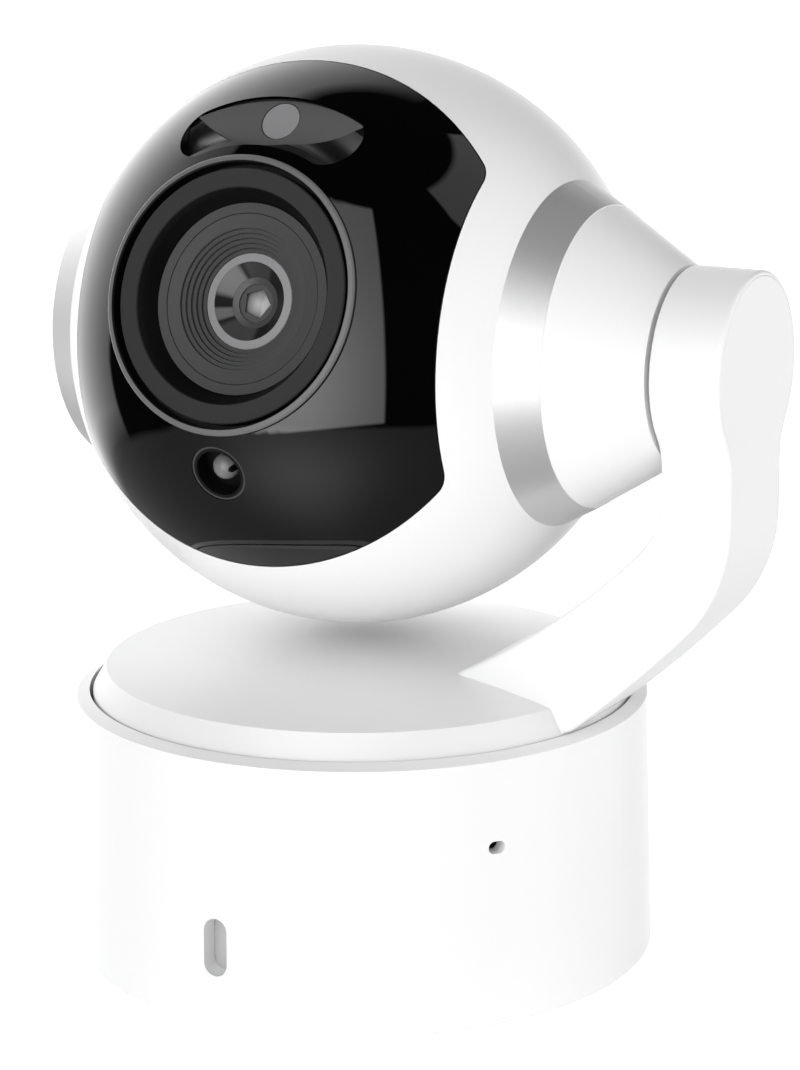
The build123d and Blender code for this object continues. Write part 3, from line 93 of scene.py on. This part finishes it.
class Amount:
    """A number that varies over a surface; arithmetic on it adds Math nodes."""

    def __init__(self, finish, socket):
        self.finish = finish
        self.socket = socket

    def _math(self, operation, *operands):
        settings = {"operation": operation}
        made = self.finish.node("ShaderNodeMath", settings, dict(enumerate(operands)))
        return Amount(self.finish, made.outputs[0])

    def __add__(self, other):
        return self._math("ADD", self, other)

    __radd__ = __add__

    def __sub__(self, other):
        return self._math("SUBTRACT", self, other)

    def __rsub__(self, other):
        return self._math("SUBTRACT", other, self)

    def __mul__(self, other):
        return self._math("MULTIPLY", self, other)

    def __truediv__(self, other):
        return self._math("DIVIDE", self, other)

    def __pow__(self, other):
        return self._math("POWER", self, other)

    def __gt__(self, other):
        return self._math("GREATER_THAN", self, other)

    def clamped(self):
        """The amount held between 0 and 1."""
        low = self._math("MAXIMUM", self, 0.0)
        return low._math("MINIMUM", low, 1.0)

    def swing(self, width):
        """Noise turned into a swing of about that width on both sides of 0."""
        return (self - MEAN_NOISE) * width

    def fraction(self):
        """What is left of the amount over its whole number."""
        return self._math("FRACT", self)

    def exponent(self):
        """The number e raised to the amount."""
        return self._math("EXPONENT", self)

    def arcsine(self):
        """Angle in radians whose sine is the amount."""
        return self._math("ARCSINE", self)

    def band(self, low, high, blur):
        """1 between two limits, falling to 0 over the blur centred on each."""
        rise = ((self - (low - blur / 2)) / blur).clamped()
        fall = ((high + blur / 2 - self) / blur).clamped()
        return rise * fall

    def heading(self, ahead):
        """Angle in radians from straight ahead, where the amount is the sideways part."""
        return self._math("ARCTAN2", self, ahead)


class Graph:
    """A node tree under construction."""

    tree = None

    def node(self, kind, settings=None, sockets=None):
        """Add a node, set it up, then give its sockets their values or links."""
        made = self.tree.nodes.new(kind)
        for name, value in (settings or {}).items():
            setattr(made, name, value)
        for name, value in (sockets or {}).items():
            socket = made.inputs[name]
            if isinstance(value, Amount):
                self.tree.links.new(value.socket, socket)
            elif isinstance(value, bpy.types.NodeSocket):
                self.tree.links.new(value, socket)
            else:
                socket.default_value = value
        return made

    def colour(self, share, first, second):
        """Colour that goes from the first to the second with the share."""
        sockets = {0: share, 6: first, 7: second}
        return self.node("ShaderNodeMix", {"data_type": "RGBA"}, sockets).outputs[2]


class Room(Graph):
    """What surrounds the object: panels and a table, placed by direction in degrees.

    The bearing is 0 in front of the lens and grows towards the arm; the height is 0 at
    the horizon and 90 overhead.
    """

    def __init__(self, name):
        self.world = bpy.data.worlds.new(name)
        self.world.use_nodes = True
        self.tree = self.world.node_tree
        self.tree.nodes.clear()
        direction = self.node("ShaderNodeTexCoord").outputs["Generated"]
        parts = self.node("ShaderNodeSeparateXYZ", None, {0: direction})
        x, y, z = (Amount(self, parts.outputs[name]) for name in ("X", "Y", "Z"))
        self.bearing = x.heading(y * -1.0) * math.degrees(1.0)
        self.height = z.arcsine() * math.degrees(1.0)

    def glow(self, bearing, height, width, tall):
        """1 at a direction, falling off smoothly round it."""
        across = (self.bearing - bearing) / width
        along = (self.height - height) / tall
        return ((across * across + along * along) * -1.0).exponent()


class Finish(Graph):
    """A material under construction: its nodes, textures and final shader."""

    def __init__(self, name):
        self.material = bpy.data.materials.new(name)
        self.material.use_nodes = True
        self.tree = self.material.node_tree
        self.tree.nodes.clear()
        self.output = self.tree.nodes.new("ShaderNodeOutputMaterial")
        self.place = None

    def coordinates(self):
        """Place on the part, in metres from its origin."""
        if self.place is None:
            self.place = self.node("ShaderNodeTexCoord").outputs["Object"]
        return self.place

    def axis(self, origin, direction):
        """How far a point lies along a direction from an origin, in metres."""
        moved = self.node(
            "ShaderNodeVectorMath",
            {"operation": "SUBTRACT"},
            {0: self.coordinates(), 1: tuple(origin)},
        )
        along = self.node(
            "ShaderNodeVectorMath",
            {"operation": "DOT_PRODUCT"},
            {0: moved.outputs[0], 1: tuple(direction)},
        )
        return Amount(self, along.outputs["Value"])

    def out(self, direction):
        """How far a point lies from the ball's centre along a direction, in metres."""
        return self.axis(HEAD_CENTRE, direction)

    def radius(self, up, origin=HEAD_CENTRE):
        """Distance in metres from a line through the origin, square to right and up."""
        right = self.axis(origin, HEAD_RIGHT)
        above = self.axis(origin, up)
        return (right * right + above * above) ** 0.5

    def angle(self, up):
        """Angle in degrees round such a line through the ball's centre, 90 upwards."""
        right = self.axis(HEAD_CENTRE, HEAD_RIGHT)
        return self.axis(HEAD_CENTRE, up).heading(right) * math.degrees(1.0)

    def noise(self, size, detail=3.0, rough=0.55, stretch=None):
        """Smooth noise with features of about that size in metres, from 0 to 1."""
        place = self.coordinates()
        if stretch is not None:
            place = self.node(
                "ShaderNodeVectorMath", {"operation": "MULTIPLY"}, {0: place, 1: stretch}
            ).outputs[0]
        made = self.node(
            "ShaderNodeTexNoise",
            {"noise_dimensions": "3D"},
            {"Vector": place, "Scale": 1.0 / size, "Detail": detail, "Roughness": rough},
        )
        return Amount(self, made.outputs["Fac"])

    def bump(self, height, depth, strength=1.0):
        """Surface normal raised by the height, whose full range is that deep in metres."""
        sockets = {"Height": height, "Distance": depth, "Strength": strength}
        return self.node("ShaderNodeBump", None, sockets).outputs["Normal"]

    def plastic(self, colour, roughness, **sockets):
        """Principled shader as the material's surface; extra sockets by name."""
        values = {"Base Color": colour, "Roughness": roughness}
        values.update({name.replace("_", " "): value for name, value in sockets.items()})
        shader = self.node("ShaderNodeBsdfPrincipled", None, values)
        self.tree.links.new(shader.outputs[0], self.output.inputs[0])
        return self.material


def rgba(colour):
    """Four-channel colour from a property's three channels."""
    return (colour[0], colour[1], colour[2], 1.0)


def grey(level, cool=0.0):
    """Opaque grey, with that much more blue."""
    return (level, level, level + cool, 1.0)


def moulded(
    name, colour, roughness, grain=0.00012, depth=0.0000015, spread=0.05, mottle=0.015
):
    """Injection-moulded plastic: fine grain, slightly uneven gloss and tint."""
    finish = Finish(name)
    cloud = finish.noise(CLOUD_SIZE, 2.0)
    grit = finish.noise(grain, 2.0)
    dark = tuple(c * (1.0 - mottle) for c in colour[:3]) + (1.0,)
    tint = finish.colour(cloud, dark, rgba(colour))
    gloss = cloud.swing(spread) + grit.swing(spread * GRIT_SHARE) + roughness
    return finish.plastic(tint, gloss.clamped(), Normal=finish.bump(grit, depth))


def dress(material, *nodes):
    """Give CAD nodes a material."""
    for name in nodes:
        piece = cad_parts[name]
        piece.data.materials.clear()
        piece.data.materials.append(material)


# ------------------------------------------------------------------ user settings


class CameraShellSettings(bpy.types.PropertyGroup):
    """Colours of the outer shells."""

    white: FloatVectorProperty(
        name="Shell white",
        description="Colour of the moulded shells, arm and base",
        subtype="COLOR",
        size=3,
        min=0.0,
        max=1.0,
        default=(0.79, 0.79, 0.793),
    )
    gloss: FloatProperty(
        name="Shell roughness",
        description="Roughness of the satin shells",
        subtype="FACTOR",
        min=0.05,
        max=1.0,
        default=0.36,
    )
    silver: FloatVectorProperty(
        name="Ring silver",
        description="Colour of the metallised side rings",
        subtype="COLOR",
        size=3,
        min=0.0,
        max=1.0,
        default=(0.79, 0.79, 0.795),
    )
    visor: FloatVectorProperty(
        name="Visor black",
        description="Colour of the glossy visor",
        subtype="COLOR",
        size=3,
        min=0.0,
        max=1.0,
        default=(0.0004, 0.0004, 0.00045),
    )


class CameraStudioSettings(bpy.types.PropertyGroup):
    """Light, floor and camera of the studio."""

    lens: FloatProperty(
        name="Focal length",
        description="Focal length of the studio camera in millimetres",
        min=20.0,
        max=300.0,
        default=111.43,
    )
    panels: FloatProperty(
        name="Panels",
        description="Brightness of the soft panels in front and on both sides",
        min=0.0,
        default=1.0,
    )
    ceiling: FloatProperty(
        name="Ceiling",
        description="Brightness of the rest of the room",
        min=0.0,
        default=0.015,
    )
    floor_glow: FloatProperty(
        name="Floor glow",
        description="Light that the backlit floor gives by itself",
        min=0.0,
        default=0.62,
    )
    floor_size: FloatProperty(
        name="Floor size",
        description="Width of the pale floor",
        unit="LENGTH",
        subtype="DISTANCE",
        min=0.5,
        default=6.0,
    )


# ------------------------------------------------------------------ pieces


class CAMERA_OT_shells(bpy.types.Operator):
    """Finish the white shells, the arm, the turntable and the base"""

    bl_idname = "camera_part.shells"
    bl_label = "Shells"

    def execute(self, context):
        settings = context.scene.camera_shell
        white = moulded("white_satin_plastic", settings.white, settings.gloss)
        dress(
            white,
            "base_shell",
            "turntable",
            "arm_shell",
            "arm_cover",
            "front_shell",
            "rear_shell",
            "hub_cone",
            "left_cap",
        )
        plate = moulded(
            "white_grained_plastic", settings.white, 0.5, grain=0.0004, depth=0.00001
        )
        dress(plate, "base_plate")
        return {"FINISHED"}


class CAMERA_OT_rings(bpy.types.Operator):
    """Metallise the side rings of the ball"""

    bl_idname = "camera_part.rings"
    bl_label = "Side rings"

    def execute(self, context):
        settings = context.scene.camera_shell
        finish = Finish("satin_silver_metal")
        flake = finish.noise(0.00009, 1.0)
        cloud = finish.noise(0.01, 2.0)
        turned = finish.noise(0.0002, 3.0, stretch=(9.0, 1.0, 1.0))
        dark = tuple(c * 0.86 for c in settings.silver) + (1.0,)
        colour = finish.colour(flake, dark, rgba(settings.silver))
        gloss = flake.swing(0.12) + cloud.swing(0.05) + 0.42
        normal = finish.bump(flake + turned * 0.5, 0.000003)
        dress(
            finish.plastic(colour, gloss.clamped(), Metallic=0.88, Normal=normal),
            "side_ring_right",
            "side_ring_left",
        )
        return {"FINISHED"}


class CAMERA_OT_visor(bpy.types.Operator):
    """Polish the visor and finish the sensor window in it"""

    bl_idname = "camera_part.visor"
    bl_label = "Visor and window"

    def execute(self, context):
        settings = context.scene.camera_shell
        finish = Finish("polished_black_plastic")
        smear = finish.noise(0.012, 4.0, 0.6)
        speck = finish.noise(0.0006, 2.0)
        gloss = 0.012 + smear * 0.03 + (speck > 0.74) * 0.02
        normal = finish.bump(finish.noise(0.004, 1.0), 0.000001)
        smeared = rgba([c * 2.0 for c in settings.visor])
        colour = finish.colour(smear, rgba(settings.visor), smeared)
        dress(finish.plastic(colour, gloss, Normal=normal), "visor")
        trough = Finish("satin_black_window")
        ripple = trough.noise(0.003, 2.0)
        dress(
            trough.plastic(
                trough.colour(ripple, grey(0.002), grey(0.004)),
                0.26 + ripple * 0.06,
                Specular_IOR_Level=0.85,
            ),
            "sensor_window",
        )
        plate = moulded(
            "grey_sensor_plate", grey(0.08, 0.002), 0.42, grain=0.0002, depth=0.000004
        )
        dress(plate, "sensor_plate")
        disc = moulded(
            "frosted_light_sensor", grey(0.235, 0.005), 0.35, grain=0.0001, depth=0.000002
        )
        dress(disc, "light_sensor")
        return {"FINISHED"}


class CAMERA_OT_lens(bpy.types.Operator):
    """Finish the lens: trim ring, bezel, stepped funnel, rings, iris and glass"""

    bl_idname = "camera_part.lens"
    bl_label = "Lens"

    def execute(self, context):
        trim = Finish("grey_trim_paint")
        grit = trim.noise(0.0002, 2.0)
        # Only the lip is grey; the rest of the ring, its walls, is painted near-black: painted
        # shade.
        unshaded_lip = trim.radius(HEAD_UP).band(TRIM_LIP_INNER, TRIM_LIP_OUTER, 0.00008)
        unshaded_lip = unshaded_lip * trim.out(LENS_OUT).band(TRIM_LIP_OUT, OUT_LIMIT, 0.0001)
        tone = trim.colour(unshaded_lip, grey(0.002), grey(0.12, 0.002))
        gloss = grit.swing(0.1) + 0.38
        normal = trim.bump(grit, 0.000002)
        dress(
            trim.plastic(tone, gloss, Normal=normal, Specular_IOR_Level=0.25),
            "lens_trim_ring",
        )

        bezel = Finish("dark_bezel_plastic")
        grit = bezel.noise(0.00015, 2.0)
        # Below its face the bezel is painted near-black: painted shade on the throat's walls.
        unshaded_face = bezel.out(LENS_OUT).band(BEZEL_FACE_OUT, OUT_LIMIT, 0.0001)
        tone = bezel.colour(unshaded_face, grey(0.0015), grey(0.022, 0.001))
        gloss = grit.swing(0.08) + 0.5
        normal = bezel.bump(grit, 0.000003)
        dress(
            bezel.plastic(tone, gloss, Normal=normal, Specular_IOR_Level=0.2),
            "lens_bezel",
        )

        funnel = Finish("stepped_funnel_plastic")
        turned = funnel.noise(0.0004, 2.0)
        lines = (funnel.radius(HEAD_UP) * 2600.0).fraction()
        # The funnel is painted darker the deeper it lies: painted shade in the recess.
        stepped = ((funnel.out(LENS_OUT) * -1.0 + FUNNEL_FACE_OUT) * 260.0).clamped()
        tone = funnel.colour(stepped, grey(0.04, 0.001), grey(0.028, 0.001))
        gloss = turned.swing(0.1) + 0.45
        normal = funnel.bump(lines + turned, 0.000004)
        dress(
            funnel.plastic(tone, gloss, Normal=normal, Specular_IOR_Level=0.35),
            "lens_funnel",
        )
        ring = moulded(
            "grey_lens_ring_metal", grey(0.225, 0.005), 0.28, grain=0.0001, depth=0.000002
        )
        dress(ring, "lens_ring")

        # The bright sectors are painted: they imitate reflections and stay where they
        # are in every view.
        cone = Finish("polished_cone_plastic")
        angle = cone.angle(HEAD_UP)
        swirl = cone.noise(0.0015, 2.0)
        sectors = angle.band(118.0, 172.0, 9.0) + angle.band(-166.0, -146.0, 5.0) * 0.85
        sectors = sectors + angle.band(-138.0, -75.0, 10.0) * 0.3
        sectors = sectors + angle.band(60.0, 108.0, 8.0) * 0.2
        rim = cone.radius(HEAD_UP).band(0.0, CONE_RIM_RADIUS, 0.0001)
        tone = cone.colour(sectors.clamped(), grey(0.008), grey(0.15, 0.003))
        tone = cone.colour(rim, tone, grey(0.05, 0.001))
        gloss = 0.3 + swirl * 0.08
        dress(cone.plastic(tone, gloss, Specular_IOR_Level=0.3), "lens_cone")
        blades = moulded("black_iris_blades", grey(0.05, 0.002), 0.4, mottle=0.3)
        dress(blades, "iris_plate")

        glass = Finish("coated_lens_glass")
        reflection_and_gloss_cloud = glass.noise(0.002, 2.0)
        tint = glass.colour(reflection_and_gloss_cloud, grey(0.30, 0.005), grey(0.52, 0.005))
        # The glass is painted light at its centre and dark towards its rim: a painted
        # reflection.
        edge = (glass.radius(HEAD_UP) * 550.0).clamped()
        tint = glass.colour(edge, tint, grey(0.14, 0.002))
        dress(
            glass.plastic(tint, 0.12 + reflection_and_gloss_cloud * 0.1, Coat_Weight=0.5, Coat_Roughness=0.05),
            "front_element",
        )
        return {"FINISHED"}


class CAMERA_OT_lamp(bpy.types.Operator):
    """Finish the infrared lamp under the lens"""

    bl_idname = "camera_part.lamp"
    bl_label = "Infrared lamp"

    def execute(self, context):
        cup = Finish("black_lamp_cup")
        grit = cup.noise(0.0002, 2.0)
        # Everything but the lip is painted near-black: painted shade inside the cup.
        unshaded_lip = cup.out(LAMP_OUT).band(CUP_FACE_OUT, OUT_LIMIT, 0.00005)
        unshaded_lip = unshaded_lip * cup.radius(LAMP_UP).band(CUP_LIP_INNER, CUP_LIP_RADIUS_LIMIT, 0.00005)
        tone = cup.colour(unshaded_lip, grey(0.0015), grey(0.05, 0.001))
        dress(cup.plastic(tone, grit.swing(0.1) + 0.4, Specular_IOR_Level=0.25), "lamp_cup")

        # The black dot is painted too.
        dome = Finish("milky_lamp_dome")
        spot = HEAD_CENTRE + HEAD_RIGHT * LAMP_DOT_RIGHT + LAMP_UP * LAMP_DOT_UP
        dot = dome.radius(LAMP_UP, spot).band(-1.0, LAMP_DOT_RADIUS, 0.0001)
        edge = (dome.radius(LAMP_UP) * 4000.0 - 7.4).clamped()
        cloud = dome.noise(0.001, 2.0)
        tone = dome.colour(cloud, grey(0.12, 0.002), grey(0.19, 0.002))
        tone = dome.colour(edge, tone, grey(0.004))
        tone = dome.colour(dot, tone, grey(0.003))
        gloss = 0.2 + cloud * 0.1
        dress(dome.plastic(tone, gloss, Specular_IOR_Level=0.35), "infrared_lamp")
        return {"FINISHED"}


class CAMERA_OT_signals(bpy.types.Operator):
    """Finish the status light, microphone, speaker, reset button and foot ring"""

    bl_idname = "camera_part.signals"
    bl_label = "Light, microphone and sockets"

    def execute(self, context):
        pipe = moulded("milky_light_pipe", grey(0.42, 0.005), 0.4, mottle=0.04)
        dress(pipe, "status_light")
        dark = moulded("dark_membrane", grey(0.03), 0.7, grain=0.0003, depth=0.00002)
        dress(dark, "microphone", "speaker")
        dress(moulded("grey_button", grey(0.3, 0.01), 0.4), "reset_button")
        rubber = moulded(
            "grey_rubber", grey(0.09, 0.002), 0.75, grain=0.0003, depth=0.00002, mottle=0.2
        )
        dress(rubber, "foot_ring")
        return {"FINISHED"}


def steel(name, colour, roughness):
    """Plated steel: brushed streaks and faint clouding."""
    finish = Finish(name)
    streak = finish.noise(0.0003, 3.0, stretch=(1.0, 1.0, 12.0))
    cloud = finish.noise(0.006, 2.0)
    tint = finish.colour(cloud, rgba([c * 0.85 for c in colour]), rgba(colour))
    gloss = (streak.swing(0.15) + roughness).clamped()
    normal = finish.bump(streak, 0.000002)
    return finish.plastic(tint, gloss, Metallic=1.0, Normal=normal)


class CAMERA_OT_inside(bpy.types.Operator):
    """Finish the motors, gears, boards, chassis, bushes and fasteners"""

    bl_idname = "camera_part.inside"
    bl_label = "Inner parts"

    def execute(self, context):
        plated = steel("zinc_plated_steel", grey(0.62, 0.01), 0.32)
        dress(
            plated,
            "base_screws",
            "bracket_screws",
            "spindle_clip",
            "spindle_screws",
            "arm_screws",
            "axle_screws",
            "axle_clip",
            "shell_screws",
            "chassis_screws",
            "board_screws",
            "tilt_axle",
            "motor_bracket",
            "pan_motor",
            "tilt_motor",
            "pan_spindle",
        )
        tinned = steel("tinned_socket_steel", grey(0.7, 0.01), 0.25)
        dress(tinned, "power_socket", "card_socket")
        dress(steel("turned_brass", (0.76, 0.58, 0.26), 0.26), "tripod_insert")
        gears = moulded("natural_acetal", (0.78, 0.77, 0.73), 0.45)
        dress(gears, "pan_gear", "pan_pinion", "tilt_gear", "tilt_pinion", "glide_ring")
        dress(gears, "outer_bush", "inner_bush")
        board = Finish("green_circuit_board")
        trace = board.noise(0.0012, 2.0)
        copper = trace > 0.52
        colour = board.colour(copper, (0.008, 0.07, 0.03, 1.0), (0.015, 0.13, 0.05, 1.0))
        dress(board.plastic(colour, 0.3 + trace * 0.1), "main_board", "camera_board")
        inner = moulded("black_inner_plastic", grey(0.02, 0.001), 0.5)
        dress(inner, "head_chassis", "lens_barrel", "image_sensor")
        return {"FINISHED"}


# ------------------------------------------------------------------ studio


class CAMERA_OT_studio(bpy.types.Operator):
    """Set up the pale floor, the room with its large soft panels and the camera"""

    bl_idname = "camera_part.studio"
    bl_label = "Studio"

    def execute(self, context):
        settings = context.scene.camera_studio
        scene = context.scene
        scene.view_settings.view_transform = "Standard"
        scene.view_settings.look = "None"

        half = settings.floor_size / 2
        floor_mesh = bpy.data.meshes.new("studio_floor")
        corners = [(-half, -half, 0), (half, -half, 0), (half, half, 0), (-half, half, 0)]
        floor_mesh.from_pydata(corners, [], [(0, 1, 2, 3)])
        floor = bpy.data.objects.new("studio_floor", floor_mesh)
        scene.collection.objects.link(floor)
        paper = Finish("pale_floor_paper")
        fibre = paper.noise(0.002, 2.0)
        paper.plastic(
            paper.colour(fibre, grey(0.84), grey(0.88)),
            0.9,
            Normal=paper.bump(fibre, 0.00001),
            Emission_Color=WHITE,
            Emission_Strength=settings.floor_glow,
            Specular_IOR_Level=0.0,
        )
        floor.data.materials.append(paper.material)
        floor.visible_glossy = False

        room = Room("studio_room")
        bearing = room.bearing
        height = room.height
        front = room.glow(bearing=0.0, height=-6.0, width=30.0, tall=42.0)
        front = (front * FRONT_PEAK + FRONT_EVEN) * settings.panels
        front = front * bearing.band(-24.0, 39.0, 1.2)
        front = front * (height - bearing * FRONT_FOOT_SLOPE).band(-27.6, NO_EDGE, 1.2)
        front = front * (height + bearing * FRONT_TOP_SLOPE).band(-NO_EDGE, 65.5, 1.5)
        left = room.glow(bearing=-125.0, height=5.0, width=45.0, tall=60.0)
        left = left * LEFT_PEAK * settings.panels
        left = left * bearing.band(-179.0, -86.0, 2.0) * height.band(-23.0, 57.0, 8.0)
        right = room.glow(bearing=115.0, height=0.0, width=50.0, tall=20.0)
        right = (right * RIGHT_PEAK + RIGHT_EVEN) * settings.panels
        right = right * bearing.band(84.0, 150.0, 1.5) * height.band(-22.0, 61.0, 2.0)
        back = (1.0 - bearing.band(-150.0, 150.0, 6.0)) * height.band(-25.0, 8.0, 12.0)
        table = room.glow(bearing=0.0, height=-44.0, width=32.0, tall=20.0)
        table = (table * TABLE_PEAK + TABLE_EVEN) * height.band(-95.0, -26.0, 2.0)
        surround = front + left + right + back * settings.panels + table + settings.ceiling
        sockets = {"Color": WHITE, "Strength": surround}
        lit = room.node("ShaderNodeBackground", None, sockets)
        # The camera sees plain white instead of the panels.
        sockets = {"Color": WHITE, "Strength": 1.0}
        plain = room.node("ShaderNodeBackground", None, sockets)
        paths = room.node("ShaderNodeLightPath")
        chosen = room.node(
            "ShaderNodeMixShader",
            None,
            {0: paths.outputs["Is Camera Ray"], 1: lit.outputs[0], 2: plain.outputs[0]},
        )
        room.node("ShaderNodeOutputWorld", None, {0: chosen.outputs[0]})
        scene.world = room.world

        lens = bpy.data.cameras.new("studio_camera")
        lens.sensor_width = SENSOR_WIDTH
        lens.lens = settings.lens
        lens.clip_start = CLIP_START
        lens.clip_end = CLIP_END
        view = bpy.data.objects.new("studio_camera", lens)
        scene.collection.objects.link(view)
        turn = Matrix.Rotation(math.radians(CAMERA_BEARING), 4, "Z")
        turn = turn @ Matrix.Rotation(math.radians(90.0 - CAMERA_DOWN), 4, "X")
        turn = turn @ Matrix.Rotation(math.radians(CAMERA_ROLL), 4, "Z")
        view.matrix_world = Matrix.Translation(CAMERA_PLACE) @ turn
        scene.camera = view
        return {"FINISHED"}


class CAMERA_PT_panel(bpy.types.Panel):
    """Lists the settings and the build steps"""

    bl_idname = "CAMERA_PT_panel"
    bl_label = "Security camera"
    bl_space_type = "VIEW_3D"
    bl_region_type = "UI"
    bl_category = "Camera"

    def draw(self, context):
        layout = self.layout
        for group in (context.scene.camera_shell, context.scene.camera_studio):
            box = layout.box()
            for name in group.bl_rna.properties.keys():
                if name not in ("rna_type", "name"):
                    box.prop(group, name)
        for operator in OPERATORS:
            layout.operator(operator.bl_idname)


OPERATORS = (
    CAMERA_OT_shells,
    CAMERA_OT_rings,
    CAMERA_OT_visor,
    CAMERA_OT_lens,
    CAMERA_OT_lamp,
    CAMERA_OT_signals,
    CAMERA_OT_inside,
    CAMERA_OT_studio,
)
CLASSES = (CameraShellSettings, CameraStudioSettings) + OPERATORS + (CAMERA_PT_panel,)


def register():
    """Add the classes and the scene's settings to Blender."""
    for item in CLASSES:
        bpy.utils.register_class(item)
    bpy.types.Scene.camera_shell = PointerProperty(type=CameraShellSettings)
    bpy.types.Scene.camera_studio = PointerProperty(type=CameraStudioSettings)


def unregister():
    """Take the settings and the classes out of Blender again."""
    del bpy.types.Scene.camera_studio
    del bpy.types.Scene.camera_shell
    for item in reversed(CLASSES):
        bpy.utils.unregister_class(item)


def main():
    """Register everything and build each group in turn."""
    register()
    bpy.ops.camera_part.shells()
    bpy.ops.camera_part.rings()
    bpy.ops.camera_part.visor()
    bpy.ops.camera_part.lens()
    bpy.ops.camera_part.lamp()
    bpy.ops.camera_part.signals()
    bpy.ops.camera_part.inside()
    bpy.ops.camera_part.studio()


if __name__ == "__main__":
    main()
